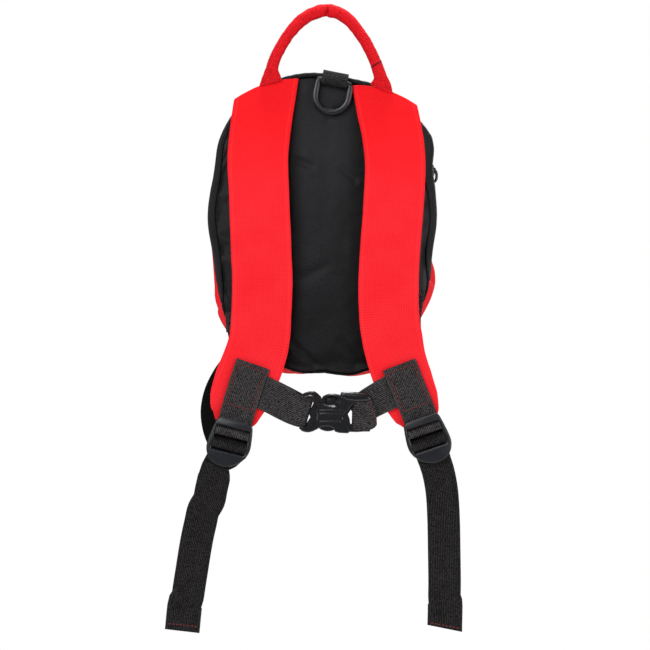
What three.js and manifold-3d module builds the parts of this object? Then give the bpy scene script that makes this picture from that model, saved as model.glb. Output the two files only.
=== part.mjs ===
// A small child's backpack, hanging by its grab handle and seen from the wearer's side.
// Millimetres, +Z up, +X to the right, the wearer's side faces -Y.
// The origin is the underside of the grab handle's arch.
import * as THREE from 'three';
import { mergeVertices } from 'three/addons/utils/BufferGeometryUtils.js';
import Module from 'manifold-3d';

const wasm = await Module();
wasm.setup();

// Driving dimensions
const GAP = 0.3; // between touching pieces
const SEAM_Y = 10; // plane of the seam round the back panel
const BAG_CENTRE = { x: -4, z: -157 };
const WALL = 1.6; // cloth walls
const CORNER_GAP = 0.8; // between the side wall and the base at the corner seams
// Padded back panel, each way from the seam plane, and the shares of it that lie flat
const PANEL = { out: 3, in: 2.2, rim: 4, flat: 0.86, middle: 0.5, shoulder: 0.75 };
const PIPING_RADIUS = 1.8;
const ROUND = 56; // points round the bag
const STRAP = { width: 45.5, sides: 14 };
const WEBBING = { width: 24.4, thick: 1.3, hem: 2.6 };
const CHEST_WIDTH = 25; // chest webbing, and where it passes the buckle's bars
const CHEST_BAR_WIDTH = 23;
const HANDLE = { thick: 8.8, apexThick: 10, tabWidth: 17, tabThick: 2.8, tabY: 0.85 };
const RING = { halfWidth: 13, drop: 23.4, radius: 2.25, lobe: 0.85, x: 5.6, y: 2, z: -48.3, tilt: 0.19 };
const TAB = { width: 20, thick: 1.2 };
const LOCK = { thick: 5, barThick: 3, y: -9 };
const LOCK_FRAME = {
  top: 16.3, bottom: -20, shoulder: 13.6, half: 16.6, corner: 3, waist: 14.3, waistDrop: 4,
  cheek: -6, jaw: { half: 15.6, z: -14 }, chinHalf: 8,
  windowHalf: 12.6, windowHigh: 11.8, windowLow: -8, bar: 3.5, bars: [7.05, -3.45],
  topPocket: { from: 10.5, deep: 1.5 }, thumbPocket: { from: -3, deep: 2 }, // cut from the back face
};
const BUCKLE = { x: 5.2, y: -7.4, z: -295.5, tilt: 0.05, thick: 9, shell: 1.4, reach: 32 };
const SLIDER = { thick: 1.8, width: 7, long: 9 };
const BAIL = { high: 2.8, width: 3.6, long: 3, sunk: 0.2, hole: 1.7, holeWidth: 2 };
const PULL = { halfWidth: 1.7, halfLong: 4.6, wire: 0.55, steps: 16 };

// Outline of the bag as the wearer's side shows it, from the top down
const OUTLINE_TOP = { x: -12, z: -41.5 };
const OUTLINE_BOTTOM = { x: 5, z: -272 };
const OUTLINE = [
  { z: -46, left: -38, right: 20 },
  { z: -54, left: -57, right: 48 },
  { z: -66, left: -69, right: 62 },
  { z: -90, left: -82, right: 75.5 },
  { z: -118, left: -86, right: 79 },
  { z: -148, left: -90, right: 83 },
  { z: -178, left: -86, right: 80 },
  { z: -204, left: -83.5, right: 80.5 },
  { z: -222, left: -82, right: 73 },
  { z: -240, left: -71, right: 61 },
  { z: -258, left: -46, right: 48 },
  { z: -268, left: -24, right: 36 },
];

// Depth of the bag: how the outline grows and closes from the back seam to the front
const SIDE_PROFILE = [
  { y: 2.2, across: 0.937, up: 0.974 },
  { y: 9, across: 0.975, up: 0.983 },
  { y: 17, across: 0.997, up: 0.99 },
  { y: 26, across: 1, up: 0.988 },
];
const ZIP_PROFILE = [
  { y: 26.7, across: 0.999, up: 0.987 },
  { y: 35, across: 0.972, up: 0.97 },
  { y: 44, across: 0.945, up: 0.94 },
];
const FRONT_PROFILE = [
  { y: 44.8, across: 0.942, up: 0.937, belly: 0 },
  { y: 52, across: 0.935, up: 0.912, belly: 1 },
  { y: 61, across: 0.885, up: 0.86, belly: 0.9 },
  { y: 71, across: 0.775, up: 0.755, belly: 0.6 },
  { y: 80, across: 0.61, up: 0.6, belly: 0.3 },
  { y: 86, across: 0.4, up: 0.4, belly: 0.1 },
  { y: 89, across: 0.18, up: 0.18, belly: 0 },
];
// How far the full front bellies out past the side wall, down each side
const BELLY = {
  left: [[-72, 0], [-106, 3.4], [-130, 7.6], [-200, 8], [-226, 5], [-262, 2]],
  right: [[-110, 0], [-160, 4], [-190, 7.5], [-206, 8], [-226, 5], [-262, 2]],
};
const FRONT_DEPTH = 89.8;
const CORNER_SEAM = { left: -221, right: -203 }; // where the black side wall ends above the base
const ZIP = { y: 35, coil: 3.6, height: 1.1, end: -150, slider: -112 }; // end and slider are heights

// Materials
const CLOTH_ROUGHNESS = 0.85;
const cloth = (color) => new THREE.MeshStandardMaterial({ color, roughness: CLOTH_ROUGHNESS });
const plastic = (color) => new THREE.MeshStandardMaterial({ color, roughness: 0.42 });
const RED = 0xe8202a;
const BLACK_CLOTH = 0x232325;
const BLACK_WEBBING = 0x2d2c2e;
const BLACK_PLASTIC = 0x2b2c30;

const backpack = new THREE.Group();

function addMesh(name, geometry, material, parent = backpack) {
  const mesh = new THREE.Mesh(geometry, material);
  mesh.name = name;
  parent.add(mesh);
  return mesh;
}

// Geometry helpers

// A closed mesh from points and triangles, turned so that its faces point out
function closedMesh(points, faces) {
  let volume = 0;
  for (const [a, b, c] of faces) {
    volume += points[a].dot(new THREE.Vector3().crossVectors(points[b], points[c]));
  }
  const turned = volume < 0 ? faces.map(([a, b, c]) => [a, c, b]) : faces;
  const geometry = new THREE.BufferGeometry().setFromPoints(points);
  geometry.setIndex(turned.flat());
  geometry.computeVertexNormals();
  return geometry;
}

// Two triangles between neighbours on two rings of points
function joinRings(faces, first, second, count, wraps = true) {
  const last = wraps ? count : count - 1;
  for (let j = 0; j < last; j += 1) {
    const next = (j + 1) % count;
    faces.push([first + j, first + next, second + next], [first + j, second + next, second + j]);
  }
}

// A skin over equal rings: capped at both ends, or run round to the first ring
function skin(rings, closed = false) {
  const count = rings[0].length;
  const points = rings.flat();
  const faces = [];
  for (let i = 0; i + 1 < rings.length; i += 1) {
    joinRings(faces, i * count, (i + 1) * count, count);
  }
  const lastRing = (rings.length - 1) * count;
  if (closed) {
    joinRings(faces, lastRing, 0, count);
    return closedMesh(points, faces);
  }
  for (const [start, turn] of [[0, -1], [lastRing, 1]]) {
    const middle = new THREE.Vector3();
    for (let j = 0; j < count; j += 1) middle.addScaledVector(points[start + j], 1 / count);
    points.push(middle);
    for (let j = 0; j < count; j += 1) {
      const edge = [start + j, start + ((j + 1) % count)];
      faces.push(turn > 0 ? [...edge, points.length - 1] : [edge[1], edge[0], points.length - 1]);
    }
  }
  return closedMesh(points, faces);
}

// A cloth wall: a grid of outer points, thickened inwards. A tip closes the last row to a point.
function clothWall(grid, thick, { wraps = false, tip = null } = {}) {
  const rows = grid.length;
  const count = grid[0].length;
  const at = (i, j) => {
    const column = wraps ? (j + count) % count : THREE.MathUtils.clamp(j, 0, count - 1);
    return grid[THREE.MathUtils.clamp(i, 0, rows - 1)][column];
  };
  const inner = grid.map((row, i) => row.map((point, j) => {
    const along = at(i, j + 1).clone().sub(at(i, j - 1));
    const up = at(i + 1, j).clone().sub(at(i - 1, j));
    return point.clone().addScaledVector(along.cross(up).normalize(), -thick);
  }));
  const points = [...grid.flat(), ...inner.flat()];
  const size = rows * count;
  const faces = [];
  const innerFaces = [];
  for (let i = 0; i + 1 < rows; i += 1) {
    joinRings(faces, i * count, (i + 1) * count, count, wraps);
    joinRings(innerFaces, size + i * count, size + (i + 1) * count, count, wraps);
  }
  joinRings(faces, size, 0, count, wraps);
  const lastRow = (rows - 1) * count;
  if (tip) {
    points.push(tip.clone(), tip.clone().add(new THREE.Vector3(0, -thick, 0)));
    for (let j = 0; j < count; j += 1) {
      const next = (j + 1) % count;
      faces.push([lastRow + j, lastRow + next, points.length - 2]);
      innerFaces.push([size + lastRow + j, size + lastRow + next, points.length - 1]);
    }
  } else {
    joinRings(faces, lastRow, size + lastRow, count, wraps);
  }
  if (!wraps) {
    for (const [column, turn] of [[0, 1], [count - 1, -1]]) {
      for (let i = 0; i + 1 < rows; i += 1) {
        const low = i * count + column;
        const high = low + count;
        const quad = [[low, high, size + high], [low, size + high, size + low]];
        faces.push(...quad.map((f) => (turn > 0 ? f : [f[0], f[2], f[1]])));
      }
    }
  }
  return closedMesh(points, [...faces, ...innerFaces.map(([a, b, c]) => [a, c, b])]);
}

// Unit sections in (across, through): a flat strip, a padded strip and a round tube
const FLAT = [[-1, -1], [1, -1], [1, 1], [-1, 1]];
const oval = (sides, acrossPower, throughPower) => Array.from({ length: sides }, (_, k) => {
  const angle = (2 * Math.PI * (k + 0.5)) / sides;
  const bulge = (v, power) => Math.sign(v) * Math.abs(v) ** power;
  return [bulge(Math.cos(angle), acrossPower), bulge(Math.sin(angle), throughPower)];
});
const PADDED = oval(STRAP.sides, 0.4, 0.6);
const TUBE = oval(10, 1, 1);

// A strip along rows of { x, y, z, width, thick, lean, slant }, smoothed between the rows.
// lean turns the strip's width clockwise in the back view, and without it the strip bends in
// that plane. slant draws the end back along the strip, across its width, and bow rounds it.
function strip(rows, section, steps = 2) {
  const path = new THREE.CatmullRomCurve3(rows.map(({ x, y, z }) => new THREE.Vector3(x, y, z)));
  const spans = rows.length - 1;
  const rings = [];
  for (let k = 0; k <= spans * steps; k += 1) {
    const u = k / (spans * steps);
    const row = Math.min(Math.floor(u * spans), spans - 1);
    const mix = (name) => THREE.MathUtils.lerp(rows[row][name], rows[row + 1][name], u * spans - row);
    const along = path.getTangent(u);
    const across = rows[0].lean === undefined
      ? new THREE.Vector3(-along.z, 0, along.x)
      : new THREE.Vector3(Math.cos(mix('lean')), 0, -Math.sin(mix('lean')));
    across.addScaledVector(along, -across.dot(along)).normalize();
    const through = new THREE.Vector3().crossVectors(along, across);
    const slant = rows[0].slant === undefined ? 0 : mix('slant');
    const bow = rows[0].bow === undefined ? 0 : mix('bow');
    rings.push(section.map(([a, b]) => path.getPoint(u)
      .addScaledVector(across, (a * mix('width')) / 2)
      .addScaledVector(through, (b * mix('thick')) / 2)
      .addScaledVector(along, (a * slant * mix('width')) / 2 - bow * (1 - a * a))));
  }
  return skin(rings);
}

// A plate in the XZ plane with its thickness centred on y = 0
function plate(shape, thick, segments = 6) {
  const geometry = new THREE.ExtrudeGeometry(shape, {
    depth: thick, bevelEnabled: false, curveSegments: segments,
  });
  return geometry.rotateX(Math.PI / 2).translate(0, thick / 2, 0);
}

const box = ([x, y, z], [width, depth, height]) => new THREE.BoxGeometry(width, depth, height)
  .translate(x, y, z);

function toSolid(geometry) {
  const bare = geometry.clone();
  bare.deleteAttribute('normal');
  bare.deleteAttribute('uv');
  const merged = mergeVertices(bare, 1e-4);
  return new wasm.Manifold(new wasm.Mesh({
    numProp: 3,
    vertProperties: merged.attributes.position.array,
    triVerts: merged.index.array,
  }));
}

// Pieces joined, then cut, as one solid
function joinAndCut(pieces, cuts) {
  const joined = pieces.map(toSolid).reduce((sum, piece) => sum.add(piece));
  const mesh = cuts.map(toSolid).reduce((rest, cut) => rest.subtract(cut), joined).getMesh();
  const geometry = new THREE.BufferGeometry();
  geometry.setAttribute('position', new THREE.BufferAttribute(mesh.vertProperties, 3));
  geometry.setIndex(new THREE.BufferAttribute(mesh.triVerts, 1));
  geometry.computeVertexNormals();
  return geometry;
}

// Bag: back panel, piping, side wall, zip band, base and front

const outlineCurve = new THREE.CatmullRomCurve3([
  new THREE.Vector3(OUTLINE_TOP.x, 0, OUTLINE_TOP.z),
  ...OUTLINE.map(({ z, right }) => new THREE.Vector3(right, 0, z)),
  new THREE.Vector3(OUTLINE_BOTTOM.x, 0, OUTLINE_BOTTOM.z),
  ...OUTLINE.toReversed().map(({ z, left }) => new THREE.Vector3(left, 0, z)),
], true, 'centripetal');
const outline = outlineCurve.getSpacedPoints(ROUND).slice(0, ROUND);

// A value at a height, from a table of [height, value] that runs downwards
function atHeight(table, z) {
  const next = table.findIndex(([height]) => height <= z);
  if (next === 0) return table[0][1];
  if (next < 0) return table.at(-1)[1];
  const [[z0, v0], [z1, v1]] = [table[next - 1], table[next]];
  return THREE.MathUtils.mapLinear(z, z0, z1, v0, v1);
}

// The outline at one row of the profile, optionally drawn in by a distance and bellied out
function bagRing({ y, across, up, belly = 0 }, drawnIn = 0) {
  const ring = outline.map((p) => new THREE.Vector3(
    BAG_CENTRE.x + (p.x - BAG_CENTRE.x) * across,
    SEAM_Y + y,
    BAG_CENTRE.z + (p.z - BAG_CENTRE.z) * up,
  ));
  return ring.map((p, j) => {
    const along = ring[(j + 1) % ROUND].clone().sub(ring[(j + ROUND - 1) % ROUND]).normalize();
    const bellied = belly * atHeight(BELLY[p.x < BAG_CENTRE.x ? 'left' : 'right'], p.z);
    return p.clone().add(new THREE.Vector3(along.z, 0, -along.x).multiplyScalar(drawnIn - bellied));
  });
}

const seamScale = { across: SIDE_PROFILE[0].across, up: SIDE_PROFILE[0].up };
const seamRing = bagRing({ y: 0, ...seamScale });

// Columns of the outline on the right and left that lie nearest to a height
function columnAt(height, side) {
  const first = side === 'right' ? 1 : ROUND / 2;
  const columns = Array.from({ length: ROUND / 2 - 1 }, (_, k) => first + k);
  const miss = (j) => Math.abs(outline[j].z - height);
  return columns.reduce((best, j) => (miss(j) < miss(best) ? j : best));
}
const rightCorner = columnAt(CORNER_SEAM.right, 'right');
const leftCorner = columnAt(CORNER_SEAM.left, 'left');
const columnsBetween = (from, to) => Array.from(
  { length: ((to - from + ROUND) % ROUND) + 1 },
  (_, k) => (from + k) % ROUND,
);

// A wall's points: its end columns are drawn back along the outline to leave a gap at the corner seams
function wallGrid(profile, columns) {
  return profile.map((row) => {
    const ring = bagRing(row);
    const points = columns.map((j) => ring[j]);
    const drawBack = (end, inward) => end.clone().add(inward.clone().sub(end).setLength(CORNER_GAP / 2));
    const first = drawBack(points[0], points[1]);
    const last = drawBack(points.at(-1), points.at(-2));
    return [first, ...points.slice(1, -1), last];
  });
}

// The padded back panel: a pillow whose rim stops short of the piping
const panelEdge = PIPING_RADIUS + GAP;
const panelInside = (share, y) => bagRing({
  y, across: seamScale.across * share, up: seamScale.up * share,
});
addMesh('back_panel', skin([
  panelInside(PANEL.middle, -PANEL.out),
  panelInside(PANEL.flat, -PANEL.out),
  bagRing({ y: -PANEL.out * PANEL.shoulder, ...seamScale }, panelEdge + PANEL.rim / 3),
  bagRing({ y: 0, ...seamScale }, panelEdge),
  bagRing({ y: PANEL.in, ...seamScale }, panelEdge + PANEL.rim / 3),
  panelInside(PANEL.middle, PANEL.in),
]), cloth(BLACK_CLOTH));

const pipingSection = oval(6, 1, 1);
addMesh('back_piping', skin(seamRing.map((p, j) => {
  const along = seamRing[(j + 1) % ROUND].clone().sub(seamRing[(j + ROUND - 1) % ROUND]).normalize();
  const out = new THREE.Vector3(-along.z, 0, along.x);
  return pipingSection.map(([a, b]) => p.clone()
    .addScaledVector(out, a * PIPING_RADIUS)
    .add(new THREE.Vector3(0, b * PIPING_RADIUS, 0)));
}), true), cloth(BLACK_CLOTH));

const overTheTop = columnsBetween(leftCorner, rightCorner);
const underneath = columnsBetween(rightCorner, leftCorner);
addMesh('gusset', clothWall(wallGrid(SIDE_PROFILE, overTheTop), WALL), cloth(BLACK_CLOTH));
addMesh('zip_band', clothWall(wallGrid(ZIP_PROFILE, overTheTop), WALL), cloth(BLACK_CLOTH));
const baseProfile = [...SIDE_PROFILE.slice(0, -1), ...ZIP_PROFILE.slice(1)];
addMesh('base_panel', clothWall(wallGrid(baseProfile, underneath), WALL), cloth(RED));
const frontTip = new THREE.Vector3(BAG_CENTRE.x, SEAM_Y + FRONT_DEPTH, BAG_CENTRE.z);
const frontGrid = FRONT_PROFILE.map((row) => bagRing(row));
addMesh('front_panel', clothWall(frontGrid, WALL, { wraps: true, tip: frontTip }), cloth(RED));

// Zip: a raised coil along the band, a slider on it and a pull loop through the slider's bail

function zipRing(y, raised) {
  const upper = ZIP_PROFILE.findIndex((row) => row.y >= y);
  const [from, to] = [ZIP_PROFILE[upper - 1], ZIP_PROFILE[upper]];
  const part = (y - from.y) / (to.y - from.y);
  return bagRing({
    y,
    across: THREE.MathUtils.lerp(from.across, to.across, part),
    up: THREE.MathUtils.lerp(from.up, to.up, part),
  }, -raised);
}
const coilEdges = [
  zipRing(ZIP.y - ZIP.coil / 2, GAP),
  zipRing(ZIP.y + ZIP.coil / 2, GAP),
  zipRing(ZIP.y + ZIP.coil / 3, GAP + ZIP.height),
  zipRing(ZIP.y - ZIP.coil / 3, GAP + ZIP.height),
];
const coilColumns = columnsBetween(columnAt(ZIP.end, 'left'), columnAt(ZIP.end, 'right'));
addMesh('zip_coil', skin(coilColumns.map((j) => coilEdges.map((ring) => ring[j]))), plastic(BLACK_PLASTIC));

const sliderColumn = columnAt(ZIP.slider, 'right');
const coilTop = zipRing(ZIP.y, GAP + ZIP.height + 2 * GAP);
const sliderGroup = new THREE.Group();
sliderGroup.position.copy(coilTop[sliderColumn]);
const sliderSlope = coilTop[sliderColumn + 1].clone().sub(coilTop[sliderColumn - 1]);
sliderGroup.rotation.y = Math.atan2(-sliderSlope.x, -sliderSlope.z);
backpack.add(sliderGroup);
const bailMiddle = SLIDER.thick + BAIL.high / 2 - BAIL.sunk;
addMesh('zip_slider', joinAndCut([
  box([SLIDER.thick / 2, 0, 0], [SLIDER.thick, SLIDER.width, SLIDER.long]),
  box([bailMiddle, 0, 0], [BAIL.high + BAIL.sunk, BAIL.width, BAIL.long]),
], [
  box([bailMiddle, 0, 0], [BAIL.hole, BAIL.holeWidth, 2 * BAIL.long]),
]), plastic(BLACK_PLASTIC), sliderGroup);
const pullSection = oval(6, 1, 1);
addMesh('zip_pull', skin(Array.from({ length: PULL.steps }, (_, k) => {
  const angle = (2 * Math.PI * k) / PULL.steps;
  const out = new THREE.Vector3(Math.cos(angle), 0, Math.sin(angle));
  const middle = new THREE.Vector3(bailMiddle + PULL.halfWidth, 0, 0)
    .add(new THREE.Vector3(out.x * PULL.halfWidth, 0, out.z * PULL.halfLong));
  return pullSection.map(([a, b]) => middle.clone()
    .addScaledVector(out, a * PULL.wire)
    .add(new THREE.Vector3(0, b * PULL.wire, 0)));
}), true), plastic(BLACK_PLASTIC), sliderGroup);

// Grab handle: a rolled tube whose ends flatten into tabs sewn over the strap tops

const HANDLE_ARCH = [
  { x: -42.4, z: -50, flat: 1, slant: -0.4 },
  { x: -41.8, z: -44.5, flat: 0.6, slant: -0.2 },
  { x: -41.2, z: -38.7, flat: 0.08 },
  { x: -39.4, z: -32.2 },
  { x: -36, z: -25 },
  { x: -29, z: -13.5 },
  { x: -16, z: -0.3, full: 0.6 },
  { x: 0, z: 5, full: 1 },
  { x: 14, z: -0.3, full: 0.6 },
  { x: 25.5, z: -13.5 },
  { x: 32.3, z: -25 },
  { x: 35.6, z: -32.2 },
  { x: 38.1, z: -38.7, flat: 0.06 },
  { x: 40, z: -45, flat: 0.15 },
  { x: 40.7, z: -50, flat: 0.75, slant: 0.25 },
  { x: 41, z: -54.3, flat: 1, slant: 0.5 },
];
addMesh('grab_handle', strip(HANDLE_ARCH.map(({ x, z, flat = 0, full = 0, slant = 0 }) => {
  const tube = THREE.MathUtils.lerp(HANDLE.thick, HANDLE.apexThick, full);
  return {
    x,
    y: flat * HANDLE.tabY,
    z,
    width: THREE.MathUtils.lerp(tube, HANDLE.tabWidth, flat),
    thick: THREE.MathUtils.lerp(tube, HANDLE.tabThick, flat),
    slant,
  };
}), TUBE, 3), cloth(RED));

// D-ring hanging in a loop of webbing at the top seam, in a group turned with the tab

const ringGroup = new THREE.Group();
ringGroup.position.set(RING.x, RING.y, RING.z);
ringGroup.rotation.y = RING.tilt;
backpack.add(ringGroup);

const ringPath = [new THREE.Vector3(0, 0, 0), new THREE.Vector3(RING.halfWidth - RING.radius, 0, 0)];
const RING_BEND_STEPS = 12;
for (let k = 0; k <= RING_BEND_STEPS; k += 1) {
  const angle = (Math.PI * k) / RING_BEND_STEPS;
  const lobe = Math.abs(Math.cos(angle)) ** RING.lobe * Math.sign(Math.cos(angle));
  ringPath.push(new THREE.Vector3(
    RING.halfWidth * lobe, 0, -RING.radius - (RING.drop - RING.radius) * Math.sin(angle),
  ));
}
ringPath.push(new THREE.Vector3(RING.radius - RING.halfWidth, 0, 0));
const ringSection = oval(8, 1, 1);
addMesh('d_ring', skin(ringPath.map((p, k) => {
  const count = ringPath.length;
  const along = ringPath[(k + 1) % count].clone().sub(ringPath[(k + count - 1) % count]).normalize();
  const out = new THREE.Vector3(-along.z, 0, along.x);
  return ringSection.map(([a, b]) => p.clone()
    .addScaledVector(out, a * RING.radius)
    .add(new THREE.Vector3(0, b * RING.radius, 0)));
}), true), plastic(BLACK_PLASTIC), ringGroup);

// The tab's path in (y, z): from behind the piping's top down the panel, round the bar and back up
const tabRadius = RING.radius + GAP + TAB.thick / 2;
const TAB_BACK = [{ y: 6.9, z: 4.9 }, { y: 5, z: 3.6 }, { y: 3.7, z: 1.7 }];
const TAB_FRONT = [{ y: -2.75, z: 2 }, { y: 0, z: 5.4 }, { y: 3.6, z: 7.1 }, { y: 6.4, z: 6.8 }];
const TAB_BEND_STEPS = 6;
const tabBend = Array.from({ length: TAB_BEND_STEPS + 1 }, (_, k) => {
  const angle = (Math.PI * k) / TAB_BEND_STEPS;
  return { y: tabRadius * Math.cos(angle), z: -tabRadius * Math.sin(angle) };
});
addMesh('d_ring_tab', strip([...TAB_BACK, ...tabBend, ...TAB_FRONT].map(({ y, z }) => ({
  x: 0, y, z, width: TAB.width, thick: TAB.thick, lean: 0,
})), FLAT, 1), cloth(BLACK_WEBBING), ringGroup);

// Shoulder straps: padded strips from slanted tops at the seam to rounded ends below the bag

const STRAP_TOP = {
  left: { x: -45.5, z: -53.7, slant: -0.5, bow: 4.3 },
  right: { x: 43.3, z: -58.7, slant: 0.51, bow: 5 },
};
const STRAP_ROWS = [ // middle and width on each side
  { z: -70, left: [-48, 45.5], right: [45.3, 45.5], y: 3.3, thick: 6.4 },
  { z: -86, left: [-50.2, 45.5], right: [48.6, 45.5], y: 1.6, thick: 7.5 },
  { z: -108, left: [-51.8, 45.5], right: [51, 45.5], y: -2.5, thick: 7.5 },
  { z: -138, left: [-50.6, 45], right: [49.9, 45], y: -6.5, thick: 7.5 },
  { z: -168, left: [-49.5, 45], right: [47.6, 45], y: -7.5, thick: 7.5 },
  { z: -198, left: [-48.4, 45], right: [46.1, 45], y: -6.5, thick: 7.5 },
  { z: -226, left: [-49.4, 45], right: [46.5, 45], y: -3.5, thick: 7.5 },
  { z: -243, left: [-51, 45.5], right: [49.2, 45], y: -1.5, thick: 7.5 },
  { z: -258, left: [-55.2, 46.5], right: [52.6, 44], y: -0.2, thick: 7.5 },
  { z: -273, left: [-61, 47], right: [57.6, 43.5], y: 0, thick: 7.5 },
  { z: -288, left: [-66.5, 43.8], right: [63.6, 40.5], y: 0.3, thick: 7 },
  { z: -299, left: [-69.6, 36], right: [67.8, 33.5], y: 0.8, thick: 5.4 },
  { z: -305.5, left: [-72, 27.5], right: [70, 25], y: 1.2, thick: 4.8 },
  { z: -311, left: [-73, 17], right: [71.4, 16], y: 1.2, thick: 4 },
];
const STRAP_TOP_Y = 4.4;
const STRAP_TOP_THICK = 4.4;
const SLANT_KEPT = 0.3; // share of the top's slant that the first row keeps

for (const side of ['left', 'right']) {
  const top = STRAP_TOP[side];
  const rows = STRAP_ROWS.map(({ y, z, thick, [side]: [x, width] }, k) => ({
    x, y, z, width, thick, slant: k === 0 ? top.slant * SLANT_KEPT : 0, bow: 0,
  }));
  const first = { ...top, y: STRAP_TOP_Y, thick: STRAP_TOP_THICK, width: STRAP.width };
  addMesh(`shoulder_strap_${side}`, strip([first, ...rows], PADDED, 2), cloth(RED));
}

// Ladder locks: a frame with two bars in its window and a half-moon thumb tab

const LOCK_PLACE = {
  left: { x: -72.4, z: -318, tilt: 0.25 },
  right: { x: 74.9, z: -315.5, tilt: -0.33 },
};
const lockPoint = ({ x, z, tilt }, v, y) => ({
  x: x + v * Math.sin(tilt), y, z: z + v * Math.cos(tilt), lean: tilt,
});

function ladderLock() {
  const frame = new THREE.Shape();
  const {
    top, bottom, shoulder, half, corner, waist, waistDrop, cheek, jaw, chinHalf,
    windowHalf, windowHigh, windowLow, topPocket, thumbPocket,
  } = LOCK_FRAME;
  frame.moveTo(corner - shoulder, top);
  frame.lineTo(shoulder - corner, top);
  frame.quadraticCurveTo(shoulder, top, waist, top - waistDrop);
  frame.quadraticCurveTo(half, 0, half, cheek);
  frame.bezierCurveTo(jaw.half, jaw.z, chinHalf, bottom, 0, bottom);
  frame.bezierCurveTo(-chinHalf, bottom, -jaw.half, jaw.z, -half, cheek);
  frame.quadraticCurveTo(-half, 0, -waist, top - waistDrop);
  frame.quadraticCurveTo(-shoulder, top, corner - shoulder, top);
  const depth = LOCK.thick;
  const bar = (z) => box([0, 0, z], [2 * windowHalf + 1, LOCK.barThick, LOCK_FRAME.bar]);
  const body = joinAndCut([plate(frame, depth, 5)], [
    box([0, 0, (windowHigh + windowLow) / 2], [2 * windowHalf, 2 * depth, windowHigh - windowLow]),
    box([0, depth / 2, top], [4 * half, 2 * topPocket.deep, 2 * (top - topPocket.from)]),
    box([0, depth / 2, bottom], [4 * half, 2 * thumbPocket.deep, 2 * (thumbPocket.from - bottom)]),
  ]);
  return joinAndCut([body, ...LOCK_FRAME.bars.map(bar)], []);
}

// Webbing that holds each lock: down the strap's face, behind the lock's top edge, round a bar
const PATCH_TOP = {
  left: [{ x: -55.1, z: -260, lean: 0.33 }, { x: -60, z: -274, lean: 0.32 }],
  right: [{ x: 54, z: -260.6, lean: -0.35 }, { x: 59.5, z: -275, lean: -0.35 }],
};
const PATCH_Y = -6.3;
const PATCH_LOOP = [
  { v: 22, y: -5.9 }, { v: 18, y: -5.5 }, { v: 13.5, y: -5.6 }, { v: 11.5, y: -7.2 },
  { v: 10.5, y: -9.3 }, { v: 9.7, y: -11.2 }, { v: 7, y: -11.75 }, { v: 4.6, y: -11.1 },
  { v: 3.7, y: -9 }, { v: 4.2, y: -7 }, { v: 6, y: -6.2 }, { v: 8, y: -6.2 },
];

// Adjuster webbing: from the bag's corner behind the strap, up through the lock, and down as a tail
const ADJUSTER_LEAD = {
  left: [
    { x: -61, y: 6.05, z: -227 }, { x: -61, y: 6.05, z: -240 }, { x: -65, y: 7, z: -255 },
    { x: -73, y: 8.5, z: -270 }, { x: -80, y: 9.3, z: -284 }, { x: -82.5, y: 9.5, z: -298 },
    { x: -79.5, y: 9.3, z: -312 }, { x: -75.6, y: 8.6, z: -322 },
  ],
  right: [
    { x: 61, y: 6.05, z: -208 }, { x: 58.5, y: 6.05, z: -222 }, { x: 59, y: 6.1, z: -240 },
    { x: 62, y: 8.5, z: -260 }, { x: 67, y: 9.3, z: -280 }, { x: 71, y: 9.5, z: -298 },
    { x: 75, y: 9.2, z: -311 }, { x: 77.6, y: 8.4, z: -319.5 },
  ],
};
const ADJUSTER_LOOP = [
  { v: -13, y: 6.4 }, { v: -15.4, y: 2.8 }, { v: -13.6, y: -0.8 }, { v: -10.4, y: -2.7 },
  { v: -7, y: -3.5 }, { v: -3, y: -4.4 }, { v: -0.3, y: -6.4 }, { v: 0.3, y: -8.6 }, { v: -0.2, y: -10.6 },
  { v: -2.8, y: -11.75 }, { v: -5.6, y: -11.3 }, { v: -6.6, y: -9.3 }, { v: -6.9, y: -7.3 },
  { v: -8.8, y: -5.7 },
];
const TAIL_Y = -5.2;
const TAIL = { // the left tail is kinked towards the viewer, the right one's end is slanted
  left: [
    { x: -79, z: -333.5 }, { x: -84, z: -341.5 }, { x: -86.8, z: -352, y: -5.9 },
    { x: -89, z: -363, y: -7.6 }, { x: -92.8, z: -371, y: -8.2 }, { x: -97.5, z: -392, y: -6.2 },
    { x: -102.4, z: -422 }, { x: -105.5, z: -438 }, { x: -108, z: -460 },
  ],
  right: [
    { x: 80.8, z: -333 }, { x: 83.3, z: -341 }, { x: 85.9, z: -355 }, { x: 87.2, z: -375 },
    { x: 87.7, z: -400 }, { x: 88, z: -422 }, { x: 88, z: -436 }, { x: 87.8, z: -458, slant: 0.19 },
  ],
};

// Sewn tabs at the bag's lower corners, over the start of the adjuster webbing
const ANCHOR = {
  left: [{ x: -61, z: -221 }, { x: -60.8, z: -240 }],
  right: [{ x: 62, z: -203 }, { x: 58.3, z: -224 }],
};
const ANCHOR_Y = 4.4;

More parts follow.
